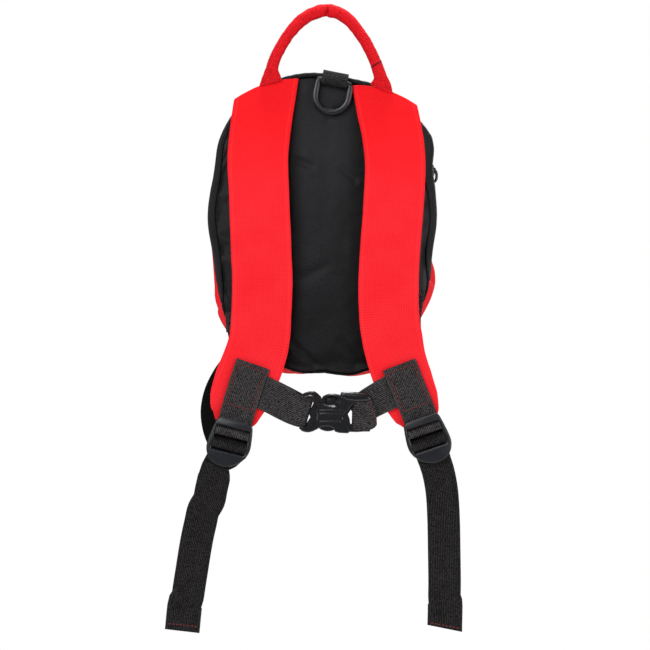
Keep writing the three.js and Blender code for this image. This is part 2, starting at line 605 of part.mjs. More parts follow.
for (const side of ['left', 'right']) {
  const place = LOCK_PLACE[side];
  const group = new THREE.Group();
  group.position.set(place.x, LOCK.y, place.z);
  group.rotation.y = place.tilt;
  backpack.add(group);
  addMesh(`ladder_lock_${side}`, ladderLock(), plastic(BLACK_PLASTIC), group);

  const onLock = ({ v, y }) => lockPoint(place, v, y);
  const webbing = { width: WEBBING.width, thick: WEBBING.thick };
  addMesh(`strap_patch_${side}`, strip([
    ...PATCH_TOP[side].map((row) => ({ ...row, y: PATCH_Y })),
    ...PATCH_LOOP.map(onLock),
  ].map((row) => ({ ...row, ...webbing })), FLAT, 2), cloth(BLACK_WEBBING));

  const tail = TAIL[side].map((row, k, all) => ({
    y: TAIL_Y, slant: 0, ...row, lean: place.tilt, width: WEBBING.width,
    thick: k < all.length - 2 ? WEBBING.thick : WEBBING.hem,
  }));
  addMesh(`adjuster_webbing_${side}`, strip([
    ...ADJUSTER_LEAD[side].map((row) => ({ ...row, lean: place.tilt, slant: 0, ...webbing })),
    ...ADJUSTER_LOOP.map((row) => ({ ...onLock(row), slant: 0, ...webbing })),
    ...tail,
  ], FLAT, 2), cloth(BLACK_WEBBING));

  addMesh(`webbing_anchor_${side}`, strip(ANCHOR[side].map((row) => ({
    ...row, y: ANCHOR_Y, ...webbing,
  })), FLAT, 2), cloth(BLACK_WEBBING));
}

// Chest strap: webbing from under each patch to its bar of the buckle

const CHEST = {
  left: [
    { x: -62, y: -4.75, z: -274.5, lean: -1.1 }, { x: -45.4, y: -4.8, z: -282.7, lean: -1.1 },
    { x: -32, y: -6.3, z: -290, lean: -1.2 }, { x: -24, y: -8.8, z: -293.8, lean: -1.4 },
    { x: -16.5, y: -10.1, z: -296.3, lean: -1.52 }, { x: -13.9, y: -9.8, z: -296.8, lean: -1.52 },
    { x: -13, y: -7.4, z: -297, lean: -1.52 }, { x: -13.9, y: -5.4, z: -296.9, lean: -1.52 },
    { x: -16.5, y: -4.85, z: -296.5, lean: -1.52 }, { x: -22.5, y: -5.1, z: -294.8, lean: -1.45 },
  ],
  right: [
    { x: 60, y: -4.75, z: -274.8, lean: 1.08 }, { x: 46.9, y: -4.8, z: -281.6, lean: 1.08 },
    { x: 36, y: -4.7, z: -289, lean: 1.1 }, { x: 28.5, y: -4.6, z: -295.5, lean: 1.3 },
    { x: 22, y: -4.6, z: -299.2, lean: 1.62 }, { x: 18.2, y: -5.1, z: -299.4, lean: 1.62 },
    { x: 17.1, y: -7.4, z: -299.4, lean: 1.62 }, { x: 18.1, y: -9.8, z: -299.4, lean: 1.62 },
    { x: 21.5, y: -10, z: -299.9, lean: 1.62 }, { x: 29, y: -10, z: -300.6, lean: 1.62 },
    { x: 36.5, y: -9.6, z: -300.6, lean: 1.55 },
  ],
};
for (const side of ['left', 'right']) {
  const atBuckle = (x) => Math.abs(x - BUCKLE.x) < BUCKLE.reach;
  addMesh(`chest_webbing_${side}`, strip(CHEST[side].map((row) => ({
    ...row,
    width: atBuckle(row.x) ? CHEST_BAR_WIDTH : CHEST_WIDTH,
    thick: WEBBING.thick,
  })), FLAT, 2), cloth(BLACK_WEBBING));
}

// Side-release buckle, fastened: the plug on the left, the socket on the right

const buckleGroup = new THREE.Group();
buckleGroup.position.set(BUCKLE.x, BUCKLE.y, BUCKLE.z);
buckleGroup.rotation.y = BUCKLE.tilt;
backpack.add(buckleGroup);

// A box from its low and high corners in x and z, centred in thickness
const slab = ([x0, z0], [x1, z1], thick) => box(
  [(x0 + x1) / 2, 0, (z0 + z1) / 2],
  [x1 - x0, thick, z1 - z0],
);

// An outline from points in (x, z); a point with a control point of its own ends a curve
function outlineShape([start, ...points]) {
  const shape = new THREE.Shape();
  shape.moveTo(start.x, start.z);
  for (const { x, z, by } of points) {
    if (by) shape.quadraticCurveTo(by.x, by.z, x, z);
    else shape.lineTo(x, z);
  }
  return shape;
}

const SOCKET_BODY = [
  { x: -10.5, z: 10.5 }, { x: -8, z: 12.5 }, { x: 5, z: 12.5, by: { x: -1.5, z: -4 } },
  { x: 7, z: 13.5 }, { x: 10.5, z: 13.5 }, { x: 10.5, z: -18.5 }, { x: 2, z: -18 },
  { x: -9, z: -16.5, by: { x: -4, z: -6 } }, { x: -10.5, z: -15 },
];
const SOCKET_CAVITY = [[-12, -13.5], [7.5, 10]];
const SOCKET_BARS = [[[13.7, -17], [17, 10]], [[23, -17], [27, 10]]];
const SOCKET_BAR_THICK = 3;
const SOCKET_RAIL = { x: 18.5, y: -0.5, long: 17, thick: 4.4 };
const SOCKET_RAILS = [{ z: 11.1, high: 4.8 }, { z: -17.2, high: 2.6 }];
addMesh('buckle_socket', joinAndCut([
  joinAndCut(
    [plate(outlineShape(SOCKET_BODY), BUCKLE.thick)],
    [slab(...SOCKET_CAVITY, BUCKLE.thick - 2 * BUCKLE.shell)],
  ),
  ...SOCKET_RAILS.map(({ z, high }) => box(
    [SOCKET_RAIL.x, SOCKET_RAIL.y, z],
    [SOCKET_RAIL.long, SOCKET_RAIL.thick, high],
  )),
  ...SOCKET_BARS.map((corners) => slab(...corners, SOCKET_BAR_THICK)),
], []), plastic(BLACK_PLASTIC), buckleGroup);

const PRONG = [
  { x: -13, z: 2.5 }, { x: -13, z: 6.5 }, { x: 3, z: 9.4, by: { x: -4, z: 9.8 } },
  { x: 5.5, z: 7 }, { x: 4, z: 5.6 }, { x: -8, z: 2.5, by: { x: -4, z: 6 } },
];
const PLUG_THICK = 5;
const PLUG_BODY = [[-23, -17.5], [-11, 15]];
const PLUG_TONGUE = [[-13, -3], [3, -0.5]];
const PLUG_SLOT = [[-20, -14.5], [-16.5, 12]];
const PLUG_MIDDLE = -1.75; // height about which the prongs mirror each other
const BAR_RELIEF = { x: -21.5, z: -1.25, wide: 3, high: 26.5, deep: 1 }; // makes room for the webbing
const upperProng = plate(outlineShape(PRONG), PLUG_THICK);
const lowerProng = upperProng.clone().rotateX(Math.PI).translate(0, 0, 2 * PLUG_MIDDLE);
addMesh('buckle_plug', joinAndCut([
  slab(...PLUG_BODY, PLUG_THICK),
  upperProng,
  lowerProng,
  slab(...PLUG_TONGUE, PLUG_THICK),
], [
  slab(...PLUG_SLOT, 2 * PLUG_THICK),
  ...[-1, 1].map((face) => box(
    [BAR_RELIEF.x, (face * PLUG_THICK) / 2, BAR_RELIEF.z],
    [BAR_RELIEF.wide, 2 * BAR_RELIEF.deep, BAR_RELIEF.high],
  )),
]), plastic(BLACK_PLASTIC), buckleGroup);

export default backpack;
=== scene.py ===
# A child's backpack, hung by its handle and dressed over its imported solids. Metres, +Z up,
# the wearer's side faces -Y. Tables of places are in millimetres, as in the part's source.
import math

import bpy
from mathutils import Matrix, Vector, noise


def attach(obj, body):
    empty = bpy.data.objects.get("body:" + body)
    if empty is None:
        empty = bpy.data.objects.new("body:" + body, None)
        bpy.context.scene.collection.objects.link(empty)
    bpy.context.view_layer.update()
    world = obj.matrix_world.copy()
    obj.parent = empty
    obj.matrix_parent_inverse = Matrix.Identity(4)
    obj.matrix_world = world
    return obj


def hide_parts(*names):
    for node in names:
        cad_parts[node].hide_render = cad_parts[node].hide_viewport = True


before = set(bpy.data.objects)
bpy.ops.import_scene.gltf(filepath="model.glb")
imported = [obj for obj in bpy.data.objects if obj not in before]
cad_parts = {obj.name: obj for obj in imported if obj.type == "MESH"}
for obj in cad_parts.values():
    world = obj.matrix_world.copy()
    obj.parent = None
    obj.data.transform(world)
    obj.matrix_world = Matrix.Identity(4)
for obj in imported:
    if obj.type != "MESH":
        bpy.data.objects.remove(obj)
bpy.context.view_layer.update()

MM = 0.001
SIDES = ("left", "right")


def mm(*values):
    return Vector(values) * MM


def mix(a, b, share):
    return a + (b - a) * share


def ease(low, high, value):
    """0 below low, 1 above high, and a smooth step between them."""
    share = min(1.0, max(0.0, (value - low) / (high - low)))
    return share * share * (3 - 2 * share)


def by_height(table, height):
    """A value from rows of (height, value) that run downwards."""
    if height >= table[0][0]:
        return table[0][1]
    for (z0, v0), (z1, v1) in zip(table, table[1:]):
        if height >= z1:
            return mix(v0, v1, (height - z0) / (z1 - z0))
    return table[-1][1]


# Working by hand: selecting, editing and finishing a piece

def leave_edit():
    if bpy.context.mode != "OBJECT":
        bpy.ops.object.mode_set(mode="OBJECT")
    bpy.ops.object.select_all(action="DESELECT")


def take(piece):
    leave_edit()
    piece.select_set(True)
    bpy.context.view_layer.objects.active = piece


def edit(piece, kind="VERT"):
    take(piece)
    bpy.ops.object.mode_set(mode="EDIT")
    bpy.ops.mesh.select_mode(type=kind)
    bpy.ops.mesh.select_all(action="DESELECT")


def apply_modifier(piece, kind, **settings):
    take(piece)
    modifier = piece.modifiers.new(kind.title(), kind)
    for name, value in settings.items():
        setattr(modifier, name, value)
    bpy.ops.object.modifier_apply(modifier=modifier.name)


def round_off(piece, width, segments=2, angle=50):
    apply_modifier(piece, "BEVEL", width=width * MM, segments=segments, limit_method="ANGLE",
                   angle_limit=math.radians(angle), use_clamp_overlap=True)


def smooth(piece, angle=40):
    take(piece)
    bpy.ops.object.shade_smooth_by_angle(angle=math.radians(angle))


def subdivide(piece, levels):
    apply_modifier(piece, "SUBSURF", levels=levels, render_levels=levels)


def weld(piece, distance=0.01, outwards=False):
    """Merges points within distance millimetres, and turns the faces of a closed shape outwards."""
    edit(piece)
    bpy.ops.mesh.select_all(action="SELECT")
    bpy.ops.mesh.remove_doubles(threshold=distance * MM)
    if outwards:
        bpy.ops.mesh.normals_make_consistent(inside=False)
    leave_edit()


def close_up(piece, distance=0.02):
    weld(piece, distance, outwards=True)


def cap_ends(piece):
    edit(piece, "EDGE")
    bpy.ops.mesh.select_non_manifold(extend=False, use_wire=False, use_multi_face=False,
                                     use_non_contiguous=False, use_verts=False)
    bpy.ops.mesh.fill_holes(sides=0)
    leave_edit()


def new_piece(name):
    """The object that was just added, under its name."""
    piece = bpy.context.object
    piece.name = piece.data.name = name
    return piece


def freeze():
    """Takes the active piece's place, turn and scale into its mesh."""
    bpy.ops.object.transform_apply(location=True, rotation=True, scale=True)


def set_place(piece, at, tilt):
    take(piece)
    piece.location, piece.rotation_euler = mm(*at), (0, tilt, 0)
    freeze()


def settle(piece, body, node, material):
    """Gives a finished piece its finish and its body, and hides the node that it stands for."""
    piece.data.materials.clear()
    piece.data.materials.append(material)
    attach(piece, body)
    if node:
        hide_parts(node)


# Routes: smooth lines through a table of rows

def curve_point(points, u, closed=False):
    """A point at u from 0 to 1 on a centripetal curve through the points."""
    count = len(points)
    spans = count if closed else count - 1
    place = min(u * spans, spans - 1e-9)
    first = int(place)
    share = place - first
    if closed:
        p0, p1, p2, p3 = (points[(first + k) % count] for k in (-1, 0, 1, 2))
    else:
        p1, p2 = points[first], points[first + 1]
        p0 = points[first - 1] if first else 2 * p1 - p2
        p3 = points[first + 2] if first + 2 < count else 2 * p2 - p1
    d0, d1, d2 = (max((b - a).length, 1e-9) ** 0.5 for a, b in ((p0, p1), (p1, p2), (p2, p3)))
    t1 = ((p1 - p0) / d0 - (p2 - p0) / (d0 + d1) + (p2 - p1) / d1) * d1
    t2 = ((p2 - p1) / d1 - (p3 - p1) / (d1 + d2) + (p3 - p2) / d2) * d1
    return (p1 + t1 * share + (3 * (p2 - p1) - 2 * t1 - t2) * share ** 2
            + (2 * (p1 - p2) + t1 + t2) * share ** 3)


def route(rows, steps):
    """Stations along rows of {at, width, thick, lean, slant, bow}, each with its own three directions."""
    points = [mm(*row["at"]) for row in rows]
    spans = len(rows) - 1
    stations, far = [], 0.0
    for k in range(spans * steps + 1):
        u = k / (spans * steps)
        first = min(int(u * spans + 1e-9), spans - 1)
        share = u * spans - first
        blend = lambda name: mix(rows[first][name], rows[first + 1][name], share)
        at = curve_point(points, u)
        nudge = 1e-4
        behind, ahead = curve_point(points, max(0, u - nudge)), curve_point(points, min(1, u + nudge))
        along = (ahead - behind).normalized()
        if "lean" in rows[0]:
            across = Vector((math.cos(blend("lean")), 0, -math.sin(blend("lean"))))
        else:
            across = Vector((-along.z, 0, along.x))
        across = (across - along * across.dot(along)).normalized()
        if stations:
            far += (at - stations[-1]["at"]).length
        stations.append({
            "at": at, "along": along, "across": across, "through": along.cross(across), "far": far,
            "width": blend("width") * MM, "thick": blend("thick") * MM,
            "slant": blend("slant") if "slant" in rows[0] else 0.0,
            "bow": blend("bow") * MM if "bow" in rows[0] else 0.0,
        })
    return stations


def on_route(stations, far, side, lift):
    """A place on a strip: far along it, to one side of its middle and lifted off it, with directions."""
    k = next((i for i in range(1, len(stations)) if stations[i]["far"] >= far), len(stations) - 1)
    a, b = stations[k - 1], stations[k]
    share = (far - a["far"]) / max(b["far"] - a["far"], 1e-9)
    blend = lambda name: mix(a[name], b[name], share)
    at = blend("at") + blend("across") * side + blend("through") * lift
    at += blend("along") * (side * blend("slant"))
    return at, blend("along").normalized(), blend("across").normalized(), blend("through").normalized()


# Sheets of cloth: a grid laid out point by point

def cloth_grid(name, columns, rows, place):
    """A grid whose point at (u, v), both from 0 to 1, goes to place(u, v) = (point, its pattern's uv)."""
    leave_edit()
    bpy.ops.mesh.primitive_grid_add(x_subdivisions=columns, y_subdivisions=rows, size=1)
    piece = new_piece(name)
    uv_of = {}
    for vertex in piece.data.vertices:
        point, uv = place(vertex.co.x + 0.5, vertex.co.y + 0.5)
        vertex.co = point
        uv_of[vertex.index] = uv
    pattern = piece.data.uv_layers[0]
    pattern.name = "weave"
    for loop in piece.data.loops:
        pattern.data[loop.index].uv = uv_of[loop.vertex_index]
    return piece


def lay_strip(name, stations, columns, start=0.0):
    """A flat strip along a route. Its pattern runs with it, in metres from its start."""
    last = len(stations) - 1

    def place(u, v):
        station = stations[round(v * last)]
        side = (u - 0.5) * station["width"]
        back = side * station["slant"] - station["bow"] * (1 - (2 * u - 1) ** 2)
        point = station["at"] + station["across"] * side + station["along"] * back
        return point, (side, station["far"] - start + back)

    return cloth_grid(name, columns, last, place)


def give_thickness(piece, stations, columns):
    """Thickens a strip to the thickness that its route has at each station."""
    most = max(station["thick"] for station in stations)
    group = piece.vertex_groups.new(name="thickness")
    per_row = columns + 1
    for vertex in piece.data.vertices:
        group.add([vertex.index], stations[vertex.index // per_row]["thick"] / most, "REPLACE")
    apply_modifier(piece, "SOLIDIFY", thickness=most, offset=0, use_even_offset=False,
                   vertex_group=group.name)
    piece.vertex_groups.clear()


def push(piece, amount):
    """Moves each point along its normal by amount(point), as a hand that works the cloth."""
    normals = [vertex.normal.copy() for vertex in piece.data.vertices]
    for vertex, normal in zip(piece.data.vertices, normals):
        vertex.co += normal * amount(vertex.co)


def lumps(point, size, seed):
    """Smooth noise from -1 to 1 whose lumps are about size millimetres."""
    return noise.noise(point / (size * MM) + Vector((seed, 3.1 * seed, 7.7)))


def rumple(point, *waves):
    """Unevenness, in millimetres, from waves of (height, size, seed)."""
    return sum(height * lumps(point, size, seed) for height, size, seed in waves)


# Finishes

def linear(*parts):
    """A colour from 0-255 screen values."""
    return tuple((p / 255 / 12.92) if p <= 10 else ((p / 255 + 0.055) / 1.055) ** 2.4 for p in parts)


WAVE_LENGTH = math.tau / 20  # of the wave node's bands, at a scale of 1


class Finish:
    """A material whose nodes are added one after another, from cloth or plastic patterns."""

    def __init__(self, name, roughness, sockets=(), space="Object"):
        self.material = bpy.data.materials.new(name)
        self.material.use_nodes = True
        self.tree = self.material.node_tree
        self.shader = self.tree.nodes["Principled BSDF"]
        self.shader.inputs["Roughness"].default_value = roughness
        for socket, value in dict(sockets).items():
            self.shader.inputs[socket].default_value = value
        self.space = self.tree.nodes.new("ShaderNodeTexCoord").outputs[space]
        self.normal = None

    def feed(self, socket, value):
        """Links a socket to an output, or sets it to a number or a colour."""
        if isinstance(value, bpy.types.NodeSocket):
            self.tree.links.new(value, socket)
        elif value is not None:
            socket.default_value = (*value, 1) if isinstance(value, tuple) else value

    def put(self, kind, *values, **settings):
        """Adds a node, sets its options, feeds its inputs in order and gives its first output."""
        node = self.tree.nodes.new(kind)
        for name, value in settings.items():
            setattr(node, name, value)
        for socket, value in zip(node.inputs, values):
            self.feed(socket, value)
        return node.outputs[0]

    def axes(self):
        """The pattern's own X, Y and Z."""
        return self.put("ShaderNodeSeparateXYZ", self.space).node.outputs

    def math(self, operation, *values):
        return self.put("ShaderNodeMath", *values, operation=operation)

    def ridges(self, direction, period, distortion=0.0):
        """Ridges from 0 to 1, one for each period in millimetres."""
        scale = WAVE_LENGTH / (period * MM)
        return self.put("ShaderNodeTexWave", self.space, scale, distortion, 1.0, 1.0,
                        bands_direction=direction).node.outputs["Fac"]

    def grid(self, period, distortion, sharpness):
        """Crossed lines, one for each period in millimetres."""
        ways = [self.math("POWER", self.ridges(way, period, distortion), sharpness) for way in "XY"]
        return self.math("MAXIMUM", *ways)

    def patches(self, size, detail=2.0):
        """Soft patches from 0 to 1 of about size millimetres."""
        return self.put("ShaderNodeTexNoise", self.space, None, 1 / (size * MM), detail).node.outputs["Fac"]

    def ramp(self, value, start, stop, low=0.0, high=1.0):
        """A number that goes from low to high as value goes from start to stop."""
        return self.put("ShaderNodeMapRange", value, start, stop, low, high)

    def between(self, low, high, share):
        return self.ramp(share, 0.0, 1.0, low, high)

    def colours(self, dark, light, share, edge=0.3):
        """A colour from dark to light, both screen values, as share goes from edge to 1 - edge."""
        ramp = self.put("ShaderNodeValToRGB", share).node
        for stop, place, colour in zip(ramp.color_ramp.elements, (edge, 1 - edge), (dark, light)):
            stop.position, stop.color = place, (*linear(*colour), 1)
        return ramp.outputs[0]

    def blend(self, share, first, second):
        """The second colour laid over the first by share."""
        unused = [None] * 5
        return self.put("ShaderNodeMix", share, *unused, first, second, data_type="RGBA").node.outputs[2]

    def raise_by(self, height, depth, strength=1.0):
        """Relief of depth millimetres from a height of 0 to 1, over any relief put in before."""
        node = self.tree.nodes.new("ShaderNodeBump")
        node.inputs["Strength"].default_value = strength
        node.inputs["Distance"].default_value = depth * MM
        self.tree.links.new(height, node.inputs["Height"])
        if self.normal:
            self.tree.links.new(self.normal, node.inputs["Normal"])
        self.normal = node.outputs["Normal"]

    def done(self, colour, roughness=None):
        for socket, value in (("Base Color", colour), ("Roughness", roughness), ("Normal", self.normal)):
            self.feed(self.shader.inputs[socket], value)
        return self.material


def red_ripstop(name, painted_edge_highlight=0.0):
    """Red cloth with a fine square grid of heavier threads. A strap's cloth also has painted shade near its
    top, and a painted highlight: a paler line at the given distance from its middle.
    """
    cloth = Finish(name, 0.75, {"Specular IOR Level": 0.16, "Sheen Weight": 0.03}, "UV")
    lines = cloth.grid(1.75, 0.0, 4.0)
    threads = cloth.math("MULTIPLY", cloth.ridges("X", 0.45), cloth.ridges("Y", 0.45))
    cloth_colour = cloth.colours((244, 29, 40), (252, 42, 53), cloth.patches(26, 4.0), 0.25)
    cloth_colour = cloth.blend(cloth.between(0.0, 0.6, lines), cloth_colour, linear(212, 2, 12))
    if painted_edge_highlight:
        place = cloth.axes()
        # Painted shade: the strap's cloth is darker near its top.
        top = cloth.ramp(place["Y"], 0.03, 0.085, 0.85, 0.0)
        cloth_colour = cloth.blend(top, cloth_colour, linear(232, 8, 18))
        # Painted highlight: a paler line along each edge, where the strap's edge rolls over.
        across = cloth.math("ABSOLUTE", place["X"])
        line = cloth.math("COMPARE", across, painted_edge_highlight * MM, 0.55 * MM)
        cloth_colour = cloth.blend(cloth.math("MULTIPLY", line, 0.25), cloth_colour, linear(255, 54, 62))
    cloth.raise_by(lines, 0.14, 0.5)
    cloth.raise_by(threads, 0.05, 0.4)
    cloth.raise_by(cloth.patches(14, 3.0), 0.6, 0.3)
    return cloth.done(cloth_colour)


def red_handle_cloth():
    """The handle's red cloth: rolled up, so its grid is drawn together and mottled."""
    cloth = Finish("red_rolled_cloth", 0.74, {"Specular IOR Level": 0.18, "Sheen Weight": 0.04}, "UV")
    lines = cloth.grid(1.9, 2.2, 3.0)
    tone = cloth.colours((194, 0, 14), (240, 12, 30), cloth.patches(2.6, 4.0))
    cloth_colour = cloth.blend(cloth.between(0.0, 0.5, lines), tone, linear(176, 0, 10))
    cloth.raise_by(lines, 0.25, 0.6)
    cloth.raise_by(cloth.patches(2.0, 3.0), 0.6, 0.6)
    return cloth.done(cloth_colour)


def black_satin_cloth(name, dark, light, shaded=False):
    """Black cloth: a tight weave with a soft sheen.

    The panel's has painted light and shade: painted paler above, painted darker beside the straps as their
    shade, and painted paler again outside them, more so on the right.
    """
    cloth = Finish(name, 0.5, {"Specular IOR Level": 0.12}, "UV")
    weave = cloth.math("MULTIPLY", cloth.ridges("X", 0.8), cloth.ridges("Y", 0.62))
    tone = cloth.colours(dark, light, cloth.patches(30, 3.0))
    cloth_colour = cloth.blend(cloth.between(0.0, 0.5, weave), tone, linear(*light))
    cloth_colour = cloth.blend(cloth.between(-1.0, 1.4, cloth.patches(1.7)), cloth_colour, linear(2, 2, 2))
    if shaded:
        place = cloth.axes()
        # Painted light: the panel is paler towards its top.
        painted_top_light = cloth.ramp(place["Y"], -0.26, -0.1, 0.0, 0.2)
        cloth_colour = cloth.blend(painted_top_light, cloth_colour, linear(62, 62, 66))
        off_middle = cloth.math("ABSOLUTE", cloth.math("ADD", place["X"], PANEL_MIDDLE * MM))
        # Painted shade: the panel is darker beside the straps' inner edges.
        painted_strap_shade = cloth.ramp(off_middle, 16 * MM, 27 * MM, 0.0, 0.95)
        cloth_colour = cloth.blend(painted_strap_shade, cloth_colour, linear(2, 2, 3))
        # Painted light: the panel is paler outside the straps, more so on the right than on the left.
        painted_outside_light = cloth.ramp(off_middle, 58 * MM, 64 * MM, 0.0, 0.9)
        painted_right_light = cloth.ramp(place["X"], -60 * MM, 60 * MM)
        cloth_colour = cloth.blend(painted_outside_light, cloth_colour, cloth.blend(painted_right_light, linear(28, 28, 30), linear(58, 58, 61)))
    cloth.raise_by(weave, 0.09, 0.6)
    cloth.raise_by(cloth.patches(11, 3.0), 0.8, 0.45)
    return cloth.done(cloth_colour, cloth.between(0.36, 0.55, cloth.patches(18)))


def black_webbing_weave(name, rib_way, shine, light_tone):
    """Webbing: ribs one way, with floats that catch the light as flecks along them.

    A length that lies hidden behind a strap, which is before the pattern's start, loses its flecks and stays
    black, as painted shade.
    """
    cloth = Finish(name, 0.62, {"Specular IOR Level": shine}, "UV")
    ribs = cloth.ridges(rib_way, 1.3, 1.2)
    floats = cloth.between(-1.4, 2.8, cloth.patches(1.5, 2.0))
    flecks = cloth.math("MULTIPLY", ribs, floats)
    uneven = cloth.between(0.1, 1.9, cloth.patches(7, 3.0))
    place = cloth.axes()
    across = cloth.math("ABSOLUTE", place["X"])
    selvage = cloth.math("MULTIPLY", cloth.math("GREATER_THAN", across, 11.4 * MM), 0.3)
    light = cloth.math("MAXIMUM", cloth.math("MULTIPLY", flecks, uneven), selvage)
    # Painted shade: no flecks where the webbing lies hidden before the pattern's start.
    past_painted_shade = cloth.ramp(place["Y"], -3 * MM, -0.5 * MM)
    light = cloth.math("MULTIPLY", light, past_painted_shade)
    tone = cloth.colours((5, 4, 5), (14, 13, 14), cloth.patches(16, 3.0))
    cloth_colour = cloth.blend(light, tone, light_tone)
    cloth.raise_by(flecks, 0.35, 0.9)
    cloth.raise_by(ribs, 0.2, 0.5)
    return cloth.done(cloth_colour)


def satin_plastic(name, shine, low, high, dark, light):
    """Moulded plastic: near black, with a fine spark-eroded grain and a roughness from low to high."""
    plastic = Finish(name, low, {"Specular IOR Level": shine}, "Object")
    tone = plastic.colours(dark, light, plastic.patches(5, 4.0))
    plastic.raise_by(plastic.patches(0.35, 2.0), 0.02, 0.4)
    return plastic.done(tone, plastic.between(low, high, plastic.patches(2.2, 3.0)))


def sewing_thread(name, dark, light):
    """Sewing thread with a twist."""
    thread = Finish(name, 0.7, {"Specular IOR Level": 0.25}, "Object")
    tone = thread.colours(dark, light, thread.patches(0.5, 2.0))
    thread.raise_by(thread.ridges("DIAGONAL", 0.35), 0.05, 0.6)
    return thread.done(tone)


RED_CLOTH = red_ripstop("red_ripstop")
# The straps' copy, with painted shade near the top and a painted highlight along the edges.
RED_STRAP = red_ripstop("red_strap_ripstop", 20.0)
RED_HANDLE = red_handle_cloth()
PANEL_MIDDLE = 1.6  # how far the middle between the straps lies left of the picture's
# The panel's copy carries the painted light and shade.
PANEL_CLOTH = black_satin_cloth("black_panel_cloth", (8, 8, 10), (21, 21, 24), True)
# Lit and shaded copies of one black cloth: the wall's is painted paler, as painted light where the straps
# shade it, and the tape's darker, as painted shade where the side lamps light it.
WALL_CLOTH_PAINTED_LIGHT = black_satin_cloth("black_wall_cloth_painted_light", (26, 26, 28), (46, 46, 49))
TAPE_CLOTH_PAINTED_SHADE = black_satin_cloth("black_tape_cloth_painted_shade", (14, 14, 15), (29, 29, 31))
WEBBING = black_webbing_weave("black_webbing_weave", "X", 0.15, linear(86, 82, 84))
# The hanging webbing's copy is painted darker than the sewn webbing's, as painted shade.
HUNG_WEBBING_PAINTED_SHADE = black_webbing_weave("black_hung_webbing_painted_shade", "X", 0.08, linear(54, 51, 52))
TAB_WEBBING = black_webbing_weave("black_tab_weave", "Y", 0.12, linear(54, 53, 55))
PLASTIC = satin_plastic("black_gloss_plastic", 0.6, 0.18, 0.27, (6, 7, 11), (12, 13, 18))
MATT_PLASTIC = satin_plastic("black_satin_plastic", 0.45, 0.27, 0.36, (12, 14, 19), (18, 20, 27))
BROWN_THREAD = sewing_thread("red_brown_thread", (82, 30, 28), (128, 48, 43))
DARK_THREAD = sewing_thread("dark_thread", (22, 8, 10), (44, 12, 16))
RED_THREAD = sewing_thread("red_thread", (150, 0, 8), (190, 6, 14))


# The bag's outline and its depth, as in the part's source

SEAM_Y = 10
BAG_X, BAG_Z = -4, -157
OUTLINE = [  # height, left, right
    (-46, -38, 20), (-54, -57, 48), (-66, -69, 62), (-90, -82, 75.5), (-118, -86, 79), (-148, -90, 83),
    (-178, -86, 80), (-204, -83.5, 80.5), (-222, -82, 73), (-240, -71, 61), (-258, -46, 48), (-268, -24, 36),
]
OUTLINE_TOP, OUTLINE_BOTTOM = (-12, -41.5), (5, -272)
SIDE = [(1.0, 0.94, 0.974), (9, 0.975, 0.983), (17, 0.997, 0.99), (26, 1, 0.988)]  # depth, across, up
ZIP = [(26.2, 0.999, 0.987), (35, 0.972, 0.97), (44, 0.945, 0.94)]
FRONT = [
    (42.4, 0.93, 0.925), (44.6, 0.942, 0.937), (52, 0.935, 0.912), (61, 0.885, 0.86), (71, 0.775, 0.755),
    (80, 0.61, 0.6), (86, 0.4, 0.4), (89, 0.18, 0.18), (89.8, 0, 0),
]
BELLY_SHARE = [-0.1, 0, 1, 0.9, 0.6, 0.3, 0.1, 0, 0]  # of the belly at each row of the front
BELLY = {  # how far the full front bellies out past the side wall, down each side
    "left": [(-72, 0), (-106, 3.4), (-130, 6.9), (-165, 7.1), (-180, 7.6), (-200, 8.1), (-214, 8.3),
             (-230, 6), (-262, 2)],
    "right": [(-110, 0), (-160, 3.2), (-180, 5), (-192, 7.6), (-204, 8.2), (-226, 4.6), (-262, 2)],
}
TUCK = {  # how far the black wall is drawn in there
    "left": [(-104, 0), (-128, -1), (-190, -0.9), (-206, 0.3), (-214, 2), (-221, 4)],
    "right": [(-70, 0), (-80, -2.5), (-89, -4.6), (-98, -4.2), (-108, -2.4), (-126, -2.2), (-150, -0.5),
              (-178, 0), (-188, 1), (-203, 3)],
}
WALL, FLAT_SPARE = 1.4, 1.02  # thickness of the cloth, and the share that its flat piece has for its seams
WALL_GRID, TAPE_GRID, BASE_GRID = (200, 14), (200, 12), (140, 26)
CORNER_LEFT, CORNER_RIGHT = -221, -203
ZIP_END, SLIDER_HEIGHT, ZIP_LINE = -150, -112, 35
PANEL_LIFT = [  # how far the panel's lower edge is drawn up, from right to left
    (45, 1.3), (30, 2), (24, 0.8), (17, 0.5), (8, 1.6), (-1.5, 2.8), (-8, 2), (-19, 0), (-30, -0.7),
    (-45, 0),
]
BASE_SAG = [  # how far the slack base hangs below its outline, from right to left
    (45, 0), (30, -0.5), (17, -0.7), (8, -2), (-2, -3.4), (-10, -2.5), (-19, 0), (-24, 1), (-30, 3.4),
    (-36, 4.6), (-48, 3), (-62, 0),
]
AROUND, OUTLINE_STEPS = 1200, 4000


def outline_table(count):
    """The outline's points from the top round by the right, evenly spaced."""
    corners = [Vector((*OUTLINE_TOP, 0))]
    corners += [Vector((right, height, 0)) for height, _, right in OUTLINE]
    corners += [Vector((*OUTLINE_BOTTOM, 0))]
    corners += [Vector((left, height, 0)) for height, left, _ in reversed(OUTLINE)]
    dense = [curve_point(corners, k / OUTLINE_STEPS, closed=True) for k in range(OUTLINE_STEPS + 1)]
    lengths = [0.0]
    for a, b in zip(dense, dense[1:]):
        lengths.append(lengths[-1] + (b - a).length)
    points, k = [], 0
    for i in range(count):
        far = lengths[-1] * i / count
        while lengths[k + 1] < far:
            k += 1
        points.append(dense[k].lerp(dense[k + 1], (far - lengths[k]) / (lengths[k + 1] - lengths[k])))
    return points, lengths[-1]


outline, OUTLINE_LENGTH = outline_table(AROUND)


